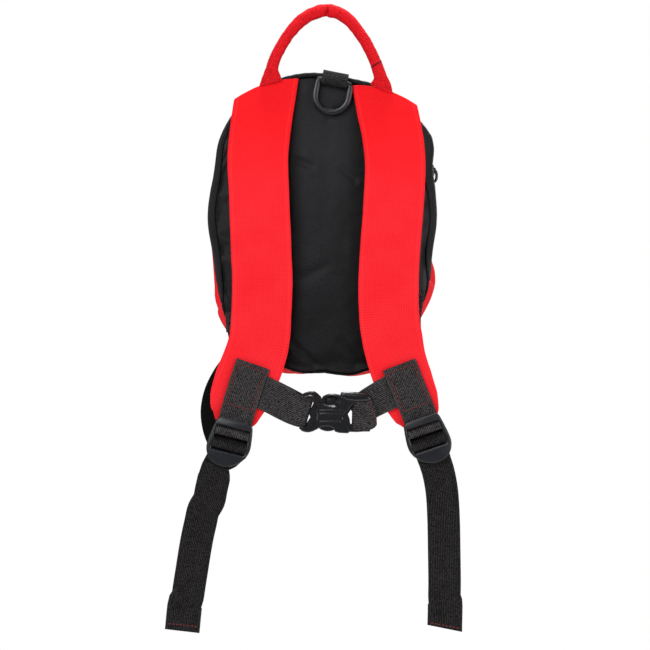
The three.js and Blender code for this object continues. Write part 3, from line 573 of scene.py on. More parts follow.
def outline_at(share):
    place = (share % 1) * AROUND
    first = int(place)
    return outline[first % AROUND].lerp(outline[(first + 1) % AROUND], place - first)


def share_at(height, side):
    """Where on the outline its right or left side passes a height."""
    half = range(AROUND // 2) if side == "right" else range(AROUND // 2, AROUND)
    return min(half, key=lambda k: abs(outline[k].y - height)) / AROUND


def bag_side(share):
    return "right" if share % 1 < 0.5 else "left"


def bag_point(share, depth, across, up, out=0.0):
    """A point of the bag's skin, moved outwards in the outline's plane by out millimetres."""
    here = outline_at(share)
    ahead, behind = outline_at(share + 0.004), outline_at(share - 0.004)
    along = (ahead - behind).normalized()
    x = BAG_X + (here.x - BAG_X) * across - along.y * out
    z = BAG_Z + (here.y - BAG_Z) * up + along.x * out
    lift = by_height(PANEL_LIFT, here.x) * up ** 2 * ease(228, 262, -here.y) * (1 - ease(1.5, 12, depth))
    return mm(x, SEAM_Y + depth, z + lift)


def face_outwards(piece, centre):
    """Turns an open wall's faces away from a point inside it."""
    face = piece.data.polygons[len(piece.data.polygons) // 2]
    if face.normal.dot(face.center - centre) < 0:
        edit(piece, "FACE")
        bpy.ops.mesh.select_all(action="SELECT")
        bpy.ops.mesh.flip_normals()
        leave_edit()


BAG_MIDDLE = mm(BAG_X, SEAM_Y + 40, BAG_Z)


def sew_wall(name, node, finish, profile, start, stop, grid, drawn, worked):
    """Sews in a wall of cloth round the bag, from one share of its outline to another."""
    steps = [Vector(row) for row in profile]
    depth_long = (profile[-1][0] - profile[0][0]) * MM

    def place(u, v):
        depth, across, up = curve_point(steps, v)
        share = mix(start, stop, u)
        point = bag_point(share, depth, across, up, drawn(share, u, depth) * ease(2, 13, depth))
        return point, (share * OUTLINE_LENGTH * MM, v * depth_long)

    wall = cloth_grid(name, *grid, place)
    face_outwards(wall, BAG_MIDDLE)
    push(wall, worked)
    apply_modifier(wall, "SOLIDIFY", thickness=WALL * MM, offset=-1, use_even_offset=True)
    round_off(wall, 0.45, 2, 60)
    smooth(wall, 60)
    settle(wall, "bag", node, finish)


def side_folds(point):
    """Slack in the side wall: broad dents, and puckers that run from the seams."""
    near_seam = 1 - ease(0.012, 0.024, point.y) + ease(0.028, 0.036, point.y)
    return MM * rumple(point, (0.8, 34, 1), (0.35 * near_seam, 9, 2))


right_corner = share_at(CORNER_RIGHT, "right")
left_corner = share_at(CORNER_LEFT, "left")


def tucked(share, *_):
    return -by_height(TUCK[bag_side(share)], outline_at(share).y)


sew_wall("side_wall", "gusset", WALL_CLOTH_PAINTED_LIGHT, SIDE, left_corner - 1, right_corner, WALL_GRID,
         tucked, side_folds)
sew_wall("zip_tape", "zip_band", TAPE_CLOTH_PAINTED_SHADE, ZIP, left_corner - 1, right_corner, TAPE_GRID,
         tucked, lambda point: MM * rumple(point, (0.35, 22, 3)))

BASE_UNDER = 0.02  # share of the outline by which the base runs up inside the side wall


def base_slack(share, u, depth):
    """The base comes out from inside the side wall's ends, bellies below them and hangs slack between."""
    below = min(u, 1 - u) / BASE_UNDER * (left_corner - right_corner + 2 * BASE_UNDER)
    full = 1.2 if bag_side(share) == "left" else 0.8
    sag = by_height(BASE_SAG, outline_at(share).x) * ease(2, 5, below) * (1 - ease(26, 42, depth))
    return mix(-4.5, full, ease(0.2, 1.15, below)) - full * ease(2, 7, below) + sag


def base_folds(point):
    """The slack bottom of the bag: soft folds that hang between the corners."""
    return MM * rumple(point, (1.1, 30, 4), (0.5, 11, 5))


sew_wall("base_wall", "base_panel", RED_CLOTH, SIDE[:-1] + ZIP[1:], right_corner - BASE_UNDER,
         left_corner + BASE_UNDER, BASE_GRID, base_slack, base_folds)

FRONT_COLUMNS, FRONT_ROWS = 160, 44


def bag_front():
    """The domed front: cloth from the zip to the middle, full below and dented where it is slack."""
    steps = [Vector(row) for row in FRONT]
    shares = [Vector((share, 0, 0)) for share in BELLY_SHARE]
    lines = {}

    def skin(u, v):
        depth, across, up = curve_point(steps, v)
        belly = curve_point(shares, v).x * by_height(BELLY[bag_side(u)], outline_at(u).y)
        return bag_point(u, depth, across, up, belly)

    def place(u, v):
        """The pattern runs outwards from the dome's middle as far as the cloth does."""
        if u not in lines:
            points = [skin(u, k / FRONT_ROWS) for k in range(FRONT_ROWS + 1)]
            left = [(b - a).length for a, b in zip(points, points[1:])]
            lines[u] = points, [sum(left[k:]) for k in range(FRONT_ROWS + 1)]
        row = round(v * FRONT_ROWS)
        points, to_middle = lines[u]
        rim = points[1] - points[-1]
        way = Vector((rim.x, rim.z)).normalized()
        return points[row], way * to_middle[row]

    front = cloth_grid("front_dome", FRONT_COLUMNS, FRONT_ROWS, place)
    weld(front)
    face_outwards(front, BAG_MIDDLE)
    push(front, lambda p: MM * rumple(p, (1.3, 48, 6), (0.5, 17, 7)) * ease(0.064, 0.074, p.y))
    apply_modifier(front, "SOLIDIFY", thickness=WALL * MM, offset=-1, use_even_offset=True)
    smooth(front, 60)
    settle(front, "bag", "front_panel", RED_CLOTH)


bag_front()

PIPING, PIPING_LOW, PIPING_RISE = 2.2, 1.1, 1.4  # the cord stands up at the top and lies flush lower down
PIPING_TWISTS, PIPING_GRID = 190, (480, 12)
SEAM_ACROSS, SEAM_UP = SIDE[0][1:]


def bag_piping():
    """The corded edge round the back panel."""
    def place(u, v):
        angle = v * math.tau
        height = outline_at(u).y
        high = ease(-105, -72, height)
        radius = mix(PIPING_LOW, PIPING, high) * (1 + 0.05 * math.sin(u * PIPING_TWISTS * math.pi))
        sunk = mix(1.4, 0.0, high)
        out = PIPING_RISE * ease(-64, -50, height) + radius * math.cos(angle)
        point = bag_point(u, sunk + radius * math.sin(angle), SEAM_ACROSS, SEAM_UP, out)
        return point, (u * OUTLINE_LENGTH * MM, v * math.tau * PIPING * MM)

    piping = cloth_grid("seam_piping", *PIPING_GRID, place)
    close_up(piping)
    smooth(piping, 80)
    settle(piping, "bag", "back_piping", TAPE_CLOTH_PAINTED_SHADE)


bag_piping()

# Pads

SWELL_STEPS, SWELL_PRESSURE = 20, 4


def swell(piece, slack, held, most, spread):
    """Lets a pad's cloth swell in a short simulation, with a cap on how far each point may move.

    held(point) says which points are sewn down, most(point) the cap in millimetres, and spread the
    share of the movement that is kept sideways.
    """
    take(piece)
    before = [vertex.co.copy() for vertex in piece.data.vertices]
    sewn = piece.vertex_groups.new(name="sewn")
    sewn.add([k for k, point in enumerate(before) if held(point)], 1.0, "REPLACE")
    cloth = piece.modifiers.new("Cloth", "CLOTH")
    cloth.settings.use_pressure = True
    cloth.settings.uniform_pressure_force = SWELL_PRESSURE
    cloth.settings.effector_weights.gravity = 0
    cloth.settings.shrink_min = -slack
    cloth.settings.vertex_group_mass = sewn.name
    cloth.collision_settings.use_collision = False
    for step in range(1, SWELL_STEPS + 1):
        bpy.context.scene.frame_set(step)
    bpy.ops.object.modifier_apply(modifier=cloth.name)
    bpy.context.scene.frame_set(1)
    piece.vertex_groups.clear()
    for vertex, start in zip(piece.data.vertices, before):
        move = (vertex.co - start) * Vector((spread, 1, spread))
        cap = most(start) * MM
        vertex.co = start + move * (cap / (cap + move.length))


PAD_FOLDS = [  # soft folds in the panel's cloth: from, to (across, up), depth, half width
    ((-28, -243), (-7, -262), 1.9, 5), ((-26, -106), (-8, -113), 1.3, 4.5), ((-24, -199), (4, -184), 1.2, 6),
    ((24, -262), (8, -240), 1.3, 6), ((-2, -80), (10, -66), 1, 4), ((24, -124), (10, -112), 1, 5),
]
PAD_DEPTH, PAD_THICK, PAD_INSET, PAD_COLUMNS, PAD_ROWS = -0.4, 5, 1.3, 64, 76


def back_pad():
    """The padded back panel: a thin pillow whose cloth swells between its seam and the straps."""
    def place(u, v):
        a, b = 2 * u - 1, 2 * v - 1
        across, up = a * math.sqrt(1 - b * b / 2), b * math.sqrt(1 - a * a / 2)
        share = math.hypot(across, up)
        turn = math.atan2(across, up) / math.tau % 1
        point = bag_point(turn, PAD_DEPTH, SEAM_ACROSS * share, SEAM_UP * share, -PAD_INSET * share)
        return point, (point.x, point.z)

    pad = cloth_grid("back_pad", PAD_COLUMNS, PAD_ROWS, place)
    apply_modifier(pad, "SOLIDIFY", thickness=PAD_THICK * MM, offset=0)
    round_off(pad, 2.2, 4, 55)
    close_up(pad)

    def free(point):
        """How far the cloth may swell: little under the straps' tops, most between the straps."""
        down = ease(0.075, 0.118, -point.z) * (1 - 0.45 * ease(0.2, 0.235, -point.z))
        return 0.35 + 2.2 * down * (1 - 0.35 * ease(0.045, 0.07, abs(point.x + 0.004)))

    swell(pad, 0.035, lambda p: p.y > 0.0082, free, 0.3)
    subdivide(pad, 1)

    def worked(point):
        if point.y > 0.0088:
            return 0.0
        slack = 0.35 + 0.65 * ease(0.075, 0.1, -point.z)
        pull = Vector((point.x, 0, point.z * 0.45))
        fold = 0.0
        for start, stop, deep, half in PAD_FOLDS:
            line = mm(*stop) - mm(*start)
            here = Vector((point.x, point.z)) - mm(*start)
            share = min(1.0, max(0.0, here.dot(line) / line.length_squared))
            near = (here - line * share).length / MM
            fold += deep * (1 - ease(0, half, near)) * (1 - abs(2 * share - 1) ** 3)
        return MM * (slack * (0.3 * lumps(pull, 16, 8) + 0.2 * lumps(point, 8, 9)) - fold)

    push(pad, worked)
    smooth(pad, 80)
    settle(pad, "bag", "back_panel", PANEL_CLOTH)


back_pad()

# Shoulder straps

STRAP_TOP = {"left": (-45.5, -53.7, -0.5, 4.3), "right": (43.3, -58.7, 0.51, 5)}  # across, up, slant, bow
STRAP_ROWS = [  # height, middle and width on each side, depth, thickness
    (-70, (-48, 45.5), (45.3, 45.5), 3.3, 6.4), (-86, (-50.2, 45.5), (48.6, 45.5), 1.6, 7.5),
    (-108, (-51.8, 45.5), (51, 45.5), -2.5, 7.5), (-138, (-50.6, 45), (49.9, 45), -6.5, 7.5),
    (-168, (-49.5, 45), (47.6, 45), -7.5, 7.5), (-198, (-48.4, 45), (46.1, 45), -6.5, 7.5),
    (-226, (-49.4, 45), (46.5, 45), -3.5, 7.5), (-243, (-51, 45.5), (49.2, 45), -1.5, 7.5),
    (-258, (-55.2, 46.5), (52.6, 44), -0.2, 7.5), (-273, (-61, 47), (57.6, 43.5), 0, 7.5),
    (-288, (-66.5, 43.8), (63.6, 40.5), 0.3, 7), (-299, (-69.6, 36), (67.8, 33.5), 0.8, 5.4),
    (-303.5, (-71.2, 28), (69.2, 26), 1.2, 4.8), (-308, (-72.4, 19), (70.6, 18), 1.2, 4),
]
STRAP_COLUMNS, STRAP_WIDE, STRAP_SEWN = 14, 45.5, 4.4  # width, and thickness and depth, at the sewn top
STRAP_FOLD = {"left": (-68.5, 0, -255), "right": (40.5, 0, -262)}  # where the sewn patch bunches the cloth


def strap_route(side):
    x, z, slant, bow = STRAP_TOP[side]
    rows = [{"at": (x, STRAP_SEWN, z), "width": STRAP_WIDE, "thick": STRAP_SEWN, "slant": slant, "bow": bow}]
    for k, (height, left, right, depth, thick) in enumerate(STRAP_ROWS):
        middle, width = left if side == "left" else right
        rows.append({"at": (middle, depth, height), "width": width, "thick": thick,
                     "slant": slant * 0.3 if k == 0 else 0.0, "bow": 0.0})
    return route(rows, 6)


def strap_swell(point):
    """How far a strap's cloth may swell: hardly under its sewn ends, where webbing lies on it."""
    return 0.12 + 1.3 * ease(0.068, 0.1, -point.z) * (1 - ease(0.235, 0.252, -point.z))


def shoulder_strap(side):
    """A foam strap in red cloth: even in thickness, with full round edges and slight slack."""
    stations = strap_route(side)
    strap = lay_strip(f"shoulder_strap_{side}_cloth", stations, STRAP_COLUMNS)
    give_thickness(strap, stations, STRAP_COLUMNS)
    round_off(strap, 2.6, 4, 55)
    swell(strap, 0.02, lambda p: p.z > -0.062 or p.z < -0.296, strap_swell, 0.2)
    subdivide(strap, 1)
    seed = 11 if side == "left" else 17
    fold = mm(*STRAP_FOLD[side])

    def worked(point):
        near = ((point - fold) * Vector((1, 0, 1))).length
        bunched = 1.5 * (1 - ease(0.001, 0.0075, near))
        return MM * (rumple(point, (0.3, 24, seed), (0.14, 8, seed + 1)) + bunched)

    push(strap, worked)
    smooth(strap, 70)
    settle(strap, "bag", f"shoulder_strap_{side}", RED_STRAP)


for side in SIDES:
    shoulder_strap(side)

# Grab handle

HANDLE_ARCH = [  # across, up, share of flattening, share of the apex's fullness, slant
    (-42.4, -50, 1, 0, -0.4), (-41.8, -44.5, 0.6, 0, -0.2), (-41.2, -38.7, 0.08, 0, 0),
    (-39.4, -32.2, 0, 0, 0), (-36, -25, 0, 0, 0), (-29, -13.5, 0, 0, 0), (-16, -0.3, 0, 0.6, 0),
    (0, 5, 0, 1, 0), (14, -0.3, 0, 0.6, 0), (25.5, -13.5, 0, 0, 0), (32.3, -25, 0, 0, 0),
    (35.6, -32.2, 0, 0, 0), (38.1, -38.7, 0.06, 0, 0), (40, -45, 0.15, 0, 0), (40.7, -50, 0.75, 0, 0.25),
    (41, -54.3, 1, 0, 0.5),
]
HANDLE_THICK, HANDLE_APEX, HANDLE_TAB_WIDTH, HANDLE_TAB_THICK, HANDLE_TAB_Y = 8.8, 10, 17, 2.8, 0.85
HANDLE_COLUMNS = 28


def grab_handle():
    """Cloth rolled into a tube, gathered at the top of the arch and flattened at its sewn ends."""
    stations = route([{
        "at": (x, flat * HANDLE_TAB_Y, z), "slant": slant,
        "width": mix(mix(HANDLE_THICK, HANDLE_APEX, full), HANDLE_TAB_WIDTH, flat),
        "thick": mix(mix(HANDLE_THICK, HANDLE_APEX, full), HANDLE_TAB_THICK, flat),
    } for x, z, flat, full, slant in HANDLE_ARCH], 8)
    last = len(stations) - 1

    def place(u, v):
        station = stations[round(v * last)]
        angle = u * math.tau
        side = math.cos(angle) * station["width"] / 2
        point = station["at"] + station["across"] * side + station["along"] * (side * station["slant"])
        point += station["through"] * (math.sin(angle) * station["thick"] / 2)
        return point, (u * math.pi * HANDLE_THICK * MM, station["far"])

    handle = cloth_grid("grab_handle_cloth", HANDLE_COLUMNS, last, place)
    weld(handle)
    cap_ends(handle)
    close_up(handle)
    subdivide(handle, 1)

    def gathers(point):
        tube = ease(-0.034, -0.024, point.z)
        near = abs(point.x - 0.0006 - 0.16 * (point.z - 0.005))
        crease = max(0.0, 1 - near / 0.0016) * tube * (0.25 + 1.7 * max(0.0, -point.y / 0.0045))
        drawn = max(0.0, 1 - near / 0.014) * tube
        ripple = math.sin(point.x / (1.5 * MM)) * drawn
        return MM * (rumple(point, (0.3 * tube, 5, 21), (0.16, 2.2, 22)) + 0.3 * ripple - 2 * crease)

    push(handle, gathers)
    smooth(handle, 80)
    settle(handle, "bag", "grab_handle", RED_HANDLE)
    return stations


handle_line = grab_handle()

# Webbing

WIDE, LOOP_WIDE, TURN_WIDE, THICK, HEM, HEM_WIDE, PATCH_WIDE = 24.4, 25.5, 20, 1.3, 2.6, 26, 26
TURN_BELOW = -11  # where the webbing turns round behind the lock
WEB_COLUMNS, PATCH_Y, ANCHOR_Y = 8, -6.3, 4.4
LOCK_PLACE = {"left": (-72.4, -318, 0.25), "right": (74.9, -315.5, -0.33)}  # across, up, tilt
PATCH_TOP = {  # across, up, lean
    "left": [(-55.1, -260, 0.33), (-60, -274, 0.32)],
    "right": [(54, -260.6, -0.35), (59.5, -275, -0.35)],
}
PATCH_LOOP = [  # along the lock, depth
    (22, -5.9), (18, -5.5), (12.5, -5.6), (9.8, -7), (8.5, -9.3), (7.9, -11.1), (6.1, -11.7), (4.3, -11.1),
    (3.6, -9), (4.1, -7), (5.6, -6.2), (8, -6.2),
]
ADJUSTER_LEAD = {  # across, depth, up: from the bag's corner to the lock, behind the strap
    "left": [(-64, 6.05, -227), (-63, 6.05, -233), (-61.6, 6.05, -242), (-63.4, 6.6, -251),
             (-68.5, 7.6, -262), (-75.2, 8.6, -272), (-80.5, 9.2, -283), (-83, 9.5, -296),
             (-81.5, 9.4, -308), (-78.6, 9, -316), (-75.6, 8.6, -322)],
    "right": [(61, 6.05, -208), (58.5, 6.05, -222), (59, 6.1, -240), (62, 8.5, -260), (67, 9.3, -280),
              (71, 9.5, -298), (75, 9.2, -311), (77.6, 8.4, -319.5)],
}
ADJUSTER_LOOP = [  # along the lock, depth
    (-13, 6.4), (-15.4, 2.8), (-13.6, -0.8), (-10.4, -2.7), (-7, -3.5), (-3, -4), (0.6, -4.1), (3, -4.9),
    (2.3, -6.8), (0.4, -8.4), (-1, -9.8), (-1.7, -11), (-3.4, -11.7), (-5.8, -11.2), (-6.6, -9.3),
    (-6.9, -7.3), (-8.8, -5.7),
]
# Up to this point the loop, like its lead, is painted in shade.
LOOP_HIDDEN = 10  # the loop's points before it comes into sight in the lock's window
TAIL_Y = -5.2
TAIL = {  # across, up, depth
    "left": [(-82.6, -334.5, TAIL_Y), (-84.6, -345, TAIL_Y), (-86.6, -354, -6.6), (-88.2, -362, -10.2),
             (-92.2, -369, -10.2), (-94.4, -378, -7), (-97.5, -392, -5.6), (-102.4, -422, TAIL_Y),
             (-105, -437, TAIL_Y)],
    "right": [(80.8, -333, TAIL_Y), (83.3, -341, TAIL_Y), (85.9, -355, TAIL_Y), (87.2, -375, TAIL_Y),
              (87.7, -400, TAIL_Y), (88, -422, TAIL_Y), (88, -437, TAIL_Y)],
}
TAIL_NECK = {"left": 19.5, "right": WIDE}  # its width where it leaves the lock
TAIL_HEM = {  # across, up, slant
    "left": [(-105.8, -438, 0), (-108.4, -460, 0)],
    "right": [(88.3, -438, 0), (88.1, -458, 0.19)],
}
ANCHOR = {  # across, up
    "left": [(-64.2, -221), (-63.6, -236)],
    "right": [(62, -203), (58.3, -224)],
}
CHEST = {  # across, depth, up, lean, slant, width
    "left": [
        (-62, -4.75, -274.5, -1.1, 0, 25), (-45.4, -4.8, -282.7, -1.1, 0, 25),
        (-32, -6.3, -290, -1.18, 0, 24.4), (-24, -8.8, -294.4, -1.24, 0, 23),
        (-17.3, -10.1, -296.4, -1.29, 0, 23), (-14.7, -9.8, -297.1, -1.29, 0, 23),
        (-13.8, -7.4, -297.4, -1.29, 0, 23), (-14.7, -5.4, -297.1, -1.29, 0, 23),
        (-17.3, -4.85, -296, -1.27, 0, 23), (-24, -4.6, -292.7, -1.18, 0, 23.6),
        (-32, -4.2, -288.9, -1.13, 0, 24.4), (-42, -3.8, -284.2, -1.1, 0, 25),
    ],
    "right": [
        (60, -4.75, -274.8, 1.08, 0, 25), (46.9, -4.8, -281.6, 1.08, 0, 25), (36, -4.7, -287.4, 1.12, 0, 24),
        (28.5, -4.6, -292, 1.25, 0, 23), (23.5, -4.6, -296.6, 1.5, 0, 23), (20.4, -5.1, -298.8, 1.6, 0, 23),
        (19.2, -7.4, -299.3, 1.6, 0, 23), (20.2, -9.8, -299.4, 1.6, 0, 23), (23.5, -10, -299.4, 1.58, 0, 23),
        (29, -10, -298.3, 1.5, -0.1, 23), (32.4, -9.8, -296.4, 1.46, -0.2, 22),
        (34.6, -9.6, -295, 1.44, -0.3, 20),
    ],
}
LOOSE_SLANT, LOOSE_BOW = -0.3, -1.6  # the cut of the chest strap's loose end


def on_lock(side, v, depth):
    """A row of webbing at v along a lock."""
    x, z, tilt = LOCK_PLACE[side]
    return {"at": (x + v * math.sin(tilt), depth, z + v * math.cos(tilt)), "lean": tilt, "slant": 0,
            "thick": THICK, "width": LOOP_WIDE if v > TURN_BELOW else TURN_WIDE}


def web_strip(name, node, rows, steps=4, weave=WEBBING, hidden_rows=0):
    """A length of webbing along its route, with softened edges."""
    stations = route(rows, steps)
    # The pattern starts past the hidden rows; the finish paints the length before it in shade.
    strip = lay_strip(name, stations, WEB_COLUMNS, stations[hidden_rows * steps]["far"])
    push(strip, lambda p: MM * rumple(p, (0.12, 13, 31)))
    give_thickness(strip, stations, WEB_COLUMNS)
    round_off(strip, 0.35, 2, 55)
    smooth(strip, 50)
    settle(strip, "bag", node, weave)
    return stations


def strap_patch(side):
    rows = [{"at": (x, PATCH_Y, z), "lean": lean, "slant": 0, "width": PATCH_WIDE, "thick": THICK}
            for x, z, lean in PATCH_TOP[side]]
    rows += [on_lock(side, v, depth) for v, depth in PATCH_LOOP]
    return web_strip(f"strap_patch_{side}_web", f"strap_patch_{side}", rows)


def adjuster(side):
    """The webbing from the bag's corner through the lock to its hemmed tail."""
    web = {"lean": LOCK_PLACE[side][2], "slant": 0, "width": WIDE, "thick": THICK}
    rows = [{**web, "at": at} for at in ADJUSTER_LEAD[side]]
    rows += [on_lock(side, v, depth) for v, depth in ADJUSTER_LOOP]
    tail = [{**web, "at": (x, depth, z)} for x, z, depth in TAIL[side]]
    tail[0]["width"] = TAIL_NECK[side]
    hem = [{**web, "at": (x, TAIL_Y, z), "slant": slant, "width": HEM_WIDE, "thick": HEM}
           for x, z, slant in TAIL_HEM[side]]
    return web_strip(f"adjuster_{side}_web", f"adjuster_webbing_{side}", rows + tail + hem,
                     weave=HUNG_WEBBING_PAINTED_SHADE,
                     hidden_rows=len(ADJUSTER_LEAD[side]) + LOOP_HIDDEN)


def corner_anchor(side):
    rows = [{"at": (x, ANCHOR_Y, z), "width": WIDE, "thick": THICK} for x, z in ANCHOR[side]]
    web_strip(f"corner_anchor_{side}_web", f"webbing_anchor_{side}", rows, 6)


def chest_strap(side):
    """The chest webbing, looped through its half of the buckle."""
    rows = [{"at": (x, depth, z), "lean": lean, "slant": slant, "thick": THICK, "width": width,
             "bow": LOOSE_BOW if slant == LOOSE_SLANT else 0.0}
            for x, depth, z, lean, slant, width in CHEST[side]]
    return web_strip(f"chest_{side}_web", f"chest_webbing_{side}", rows)


patch_lines, adjuster_lines, chest_lines = {}, {}, {}
for side in SIDES:
    patch_lines[side] = strap_patch(side)
    adjuster_lines[side] = adjuster(side)
    corner_anchor(side)
    chest_lines[side] = chest_strap(side)

# The D-ring and its tab

RING_X, RING_Y, RING_Z, RING_TILT = 5.6, 2, -48.3, 0.19
RING_HALF, RING_DROP = 12.5, 22.9
RING_RADIUS, RING_BOW = 2.3, 2.65  # radius of its bar, half width of its bow
BOW_STEPS, RING_SECTION = 24, 12
TAB_WIDE, TAB_THICK, TAB_BEND, TAB_STEPS = 19.5, 1.2, 3.15, 6
TAB_BACK = [(6.9, 4.9), (5, 3.6), (3.7, 1.7)]  # depth, height from the ring's bar
TAB_FRONT = [(-2.75, 2), (0, 5.4), (3.6, 7.1), (6.4, 6.8)]


def d_ring():
    """A moulded ring: a straight bar at the top and a round bow, drawn from one section."""
    bow = RING_DROP - RING_HALF
    half = [Vector(at) for at in ((10.8, 0), (12, -0.5), (RING_HALF, -1.9), (RING_HALF, -bow * 0.6))]
    path = [Vector((0, 0))] + half
    for k in range(BOW_STEPS + 1):
        angle = math.pi * k / BOW_STEPS
        path.append(Vector((RING_HALF * math.cos(angle), -bow - RING_HALF * math.sin(angle))))
    path += [Vector((-at.x, at.y)) for at in reversed(half)]
    count = len(path)

    def place(u, v):
        k = round(u * count) % count
        along = (path[(k + 1) % count] - path[k - 1]).normalized()
        angle = v * math.tau
        squared = lambda value: math.copysign(abs(value) ** 0.8, value)
        reach = mix(RING_RADIUS, RING_BOW, ease(0, 6, -path[k].y)) * squared(math.cos(angle))
        at = path[k] + Vector((-along.y, along.x)) * reach
        return mm(at.x, RING_RADIUS * squared(math.sin(angle)), at.y), (u, v)

    ring = cloth_grid("d_ring_moulding", count, RING_SECTION, place)
    close_up(ring)
    subdivide(ring, 1)
    set_place(ring, (RING_X, RING_Y, RING_Z), RING_TILT)
    smooth(ring, 80)
    settle(ring, "ring", "d_ring", MATT_PLASTIC)


d_ring()


def on_ring(depth, height):
    x, z = RING_X + height * math.sin(RING_TILT), RING_Z + height * math.cos(RING_TILT)
    return {"at": (x, RING_Y + depth, z), "lean": RING_TILT, "width": TAB_WIDE, "thick": TAB_THICK}


turns = [math.pi * k / TAB_STEPS for k in range(TAB_STEPS + 1)]
tab_bend = [(TAB_BEND * math.cos(turn), -TAB_BEND * math.sin(turn)) for turn in turns]
ring_tab = [on_ring(*row) for row in TAB_BACK + tab_bend + TAB_FRONT]
web_strip("ring_tab_web", "d_ring_tab", ring_tab, 3, weave=TAB_WEBBING)

# Moulded plates: flat outlines with rounded edges

def moulded_plate(name, outlines, front, back, rounding, steps=2):
    """A plate in the XZ plane from outlines of corners, holes after the first, between two depths.

    Its edges are rounded in steps, or cut to a flat edge where steps is 0.
    """
    leave_edit()
    bpy.ops.curve.primitive_bezier_circle_add(radius=MM)
    line = bpy.context.object.data
    line.splines.clear()
    line.dimensions, line.fill_mode = "2D", "BOTH"
    line.resolution_u = 1
    for corners in outlines:
        points = rounded(corners)
        spline = line.splines.new("POLY")
        spline.points.add(len(points) - 1)
        for point, (x, z) in zip(spline.points, points):
            point.co = (x * MM, z * MM, 0, 1)
        spline.use_cyclic_u = True
    line.extrude = ((back - front) / 2 - rounding) * MM
    line.bevel_depth, line.bevel_resolution, line.offset = rounding * MM, steps, -rounding * MM
    bpy.ops.object.convert(target="MESH")
    plate = new_piece(name)
    plate.rotation_euler = (math.radians(90), 0, 0)
    plate.location = (0, (front + back) / 2 * MM, 0)
    freeze()
    close_up(plate, 0.005)
    return plate


def rounded(corners, steps=6):
    """An outline through corners (x, z, radius), each corner rounded by its radius."""
    points, count = [], len(corners)
    for k in range(count):
        x, z, radius = corners[k]
        here = Vector((x, z))
        before = Vector(corners[k - 1][:2]) - here
        after = Vector(corners[(k + 1) % count][:2]) - here
        if radius <= 0:
            points.append((x, z))
            continue
        start = here + before.normalized() * min(radius, before.length * 0.49)
        stop = here + after.normalized() * min(radius, after.length * 0.49)
        for i in range(steps + 1):
            t = i / steps
            point = start * (1 - t) ** 2 + here * (2 * t * (1 - t)) + stop * t ** 2
            points.append((point.x, point.y))
    return points


def join_pieces(name, pieces):
    leave_edit()
    for piece in pieces:
        piece.select_set(True)
    bpy.context.view_layer.objects.active = pieces[0]
    bpy.ops.object.join()
    pieces[0].name = pieces[0].data.name = name
    return pieces[0]


# Ladder locks

LOCK_OUTLINE = [  # across, up and rounding of each corner
    (-13.6, 16.3, 4.5), (13.6, 16.3, 4.5), (15.4, 6, 4), (16.4, -3, 5), (14.6, -9.5, 5), (9, -16.2, 6),
    (1, -20, 6), (-7, -19.4, 6), (-13.2, -15.4, 6), (-16.4, -9, 5), (-16.6, -3, 6), (-15.4, 6, 4),
]
LOCK_WINDOW = [(-12.6, 10.5, 1.2), (12.6, 10.5, 1.2), (12.6, -8, 1.2), (-12.6, -8, 1.2)]
LOCK_LIP = [(-14.6, -9, 1), (14.6, -9, 1), (14.2, -9.9, 0.4), (-14.2, -9.9, 0.4)]
LOCK_BARS, LOCK_BAR_HALF, LOCK_Y = (6.2, -4.1), 1.3, -9


def bar(name, low, high, rounding, segments=3):
    """A bar from its low corner to its high corner, with rounded edges."""
    leave_edit()
    bpy.ops.mesh.primitive_cube_add(size=1, location=mm(*((a + b) / 2 for a, b in zip(low, high))))
    piece = new_piece(name)
    piece.scale = mm(*(b - a for a, b in zip(low, high)))
    freeze()
    round_off(piece, rounding, segments, 60)
    return piece


def ladder_lock():
    """The lock at its own place: a frame, thicker at its sides, two bars and a lip on its thumb tab."""
    pieces = [moulded_plate("lock_frame", [LOCK_OUTLINE, LOCK_WINDOW], -2.5, 0.6, 1.1)]
    for low, high in ((-15.1, -12.75), (12.75, 15.1)):
        pieces.append(bar("lock_side", (low, -0.2, -4.2), (high, 2.45, 8.8), 0.7))
    for height in LOCK_BARS:
        low, high = height - LOCK_BAR_HALF, height + LOCK_BAR_HALF
        pieces.append(bar("lock_bar", (-13.4, -1.4, low), (13.4, 1.4, high), 0.9))
    pieces.append(moulded_plate("lock_lip", [LOCK_LIP], -2.85, -2.0, 0.3))
    lock = join_pieces("ladder_lock_moulding", pieces)
    smooth(lock, 45)
    return lock


left_lock = ladder_lock()
take(left_lock)
bpy.ops.object.duplicate()
right_lock = bpy.context.object
right_lock.scale.x = -1
freeze()
close_up(right_lock, 0.001)
for side, lock in zip(SIDES, (left_lock, right_lock)):
    lock.name = lock.data.name = f"ladder_lock_{side}_moulding"
    x, z, tilt = LOCK_PLACE[side]
    set_place(lock, (x, LOCK_Y, z), tilt)
    settle(lock, "bag", f"ladder_lock_{side}", MATT_PLASTIC)


# The chest buckle, fastened

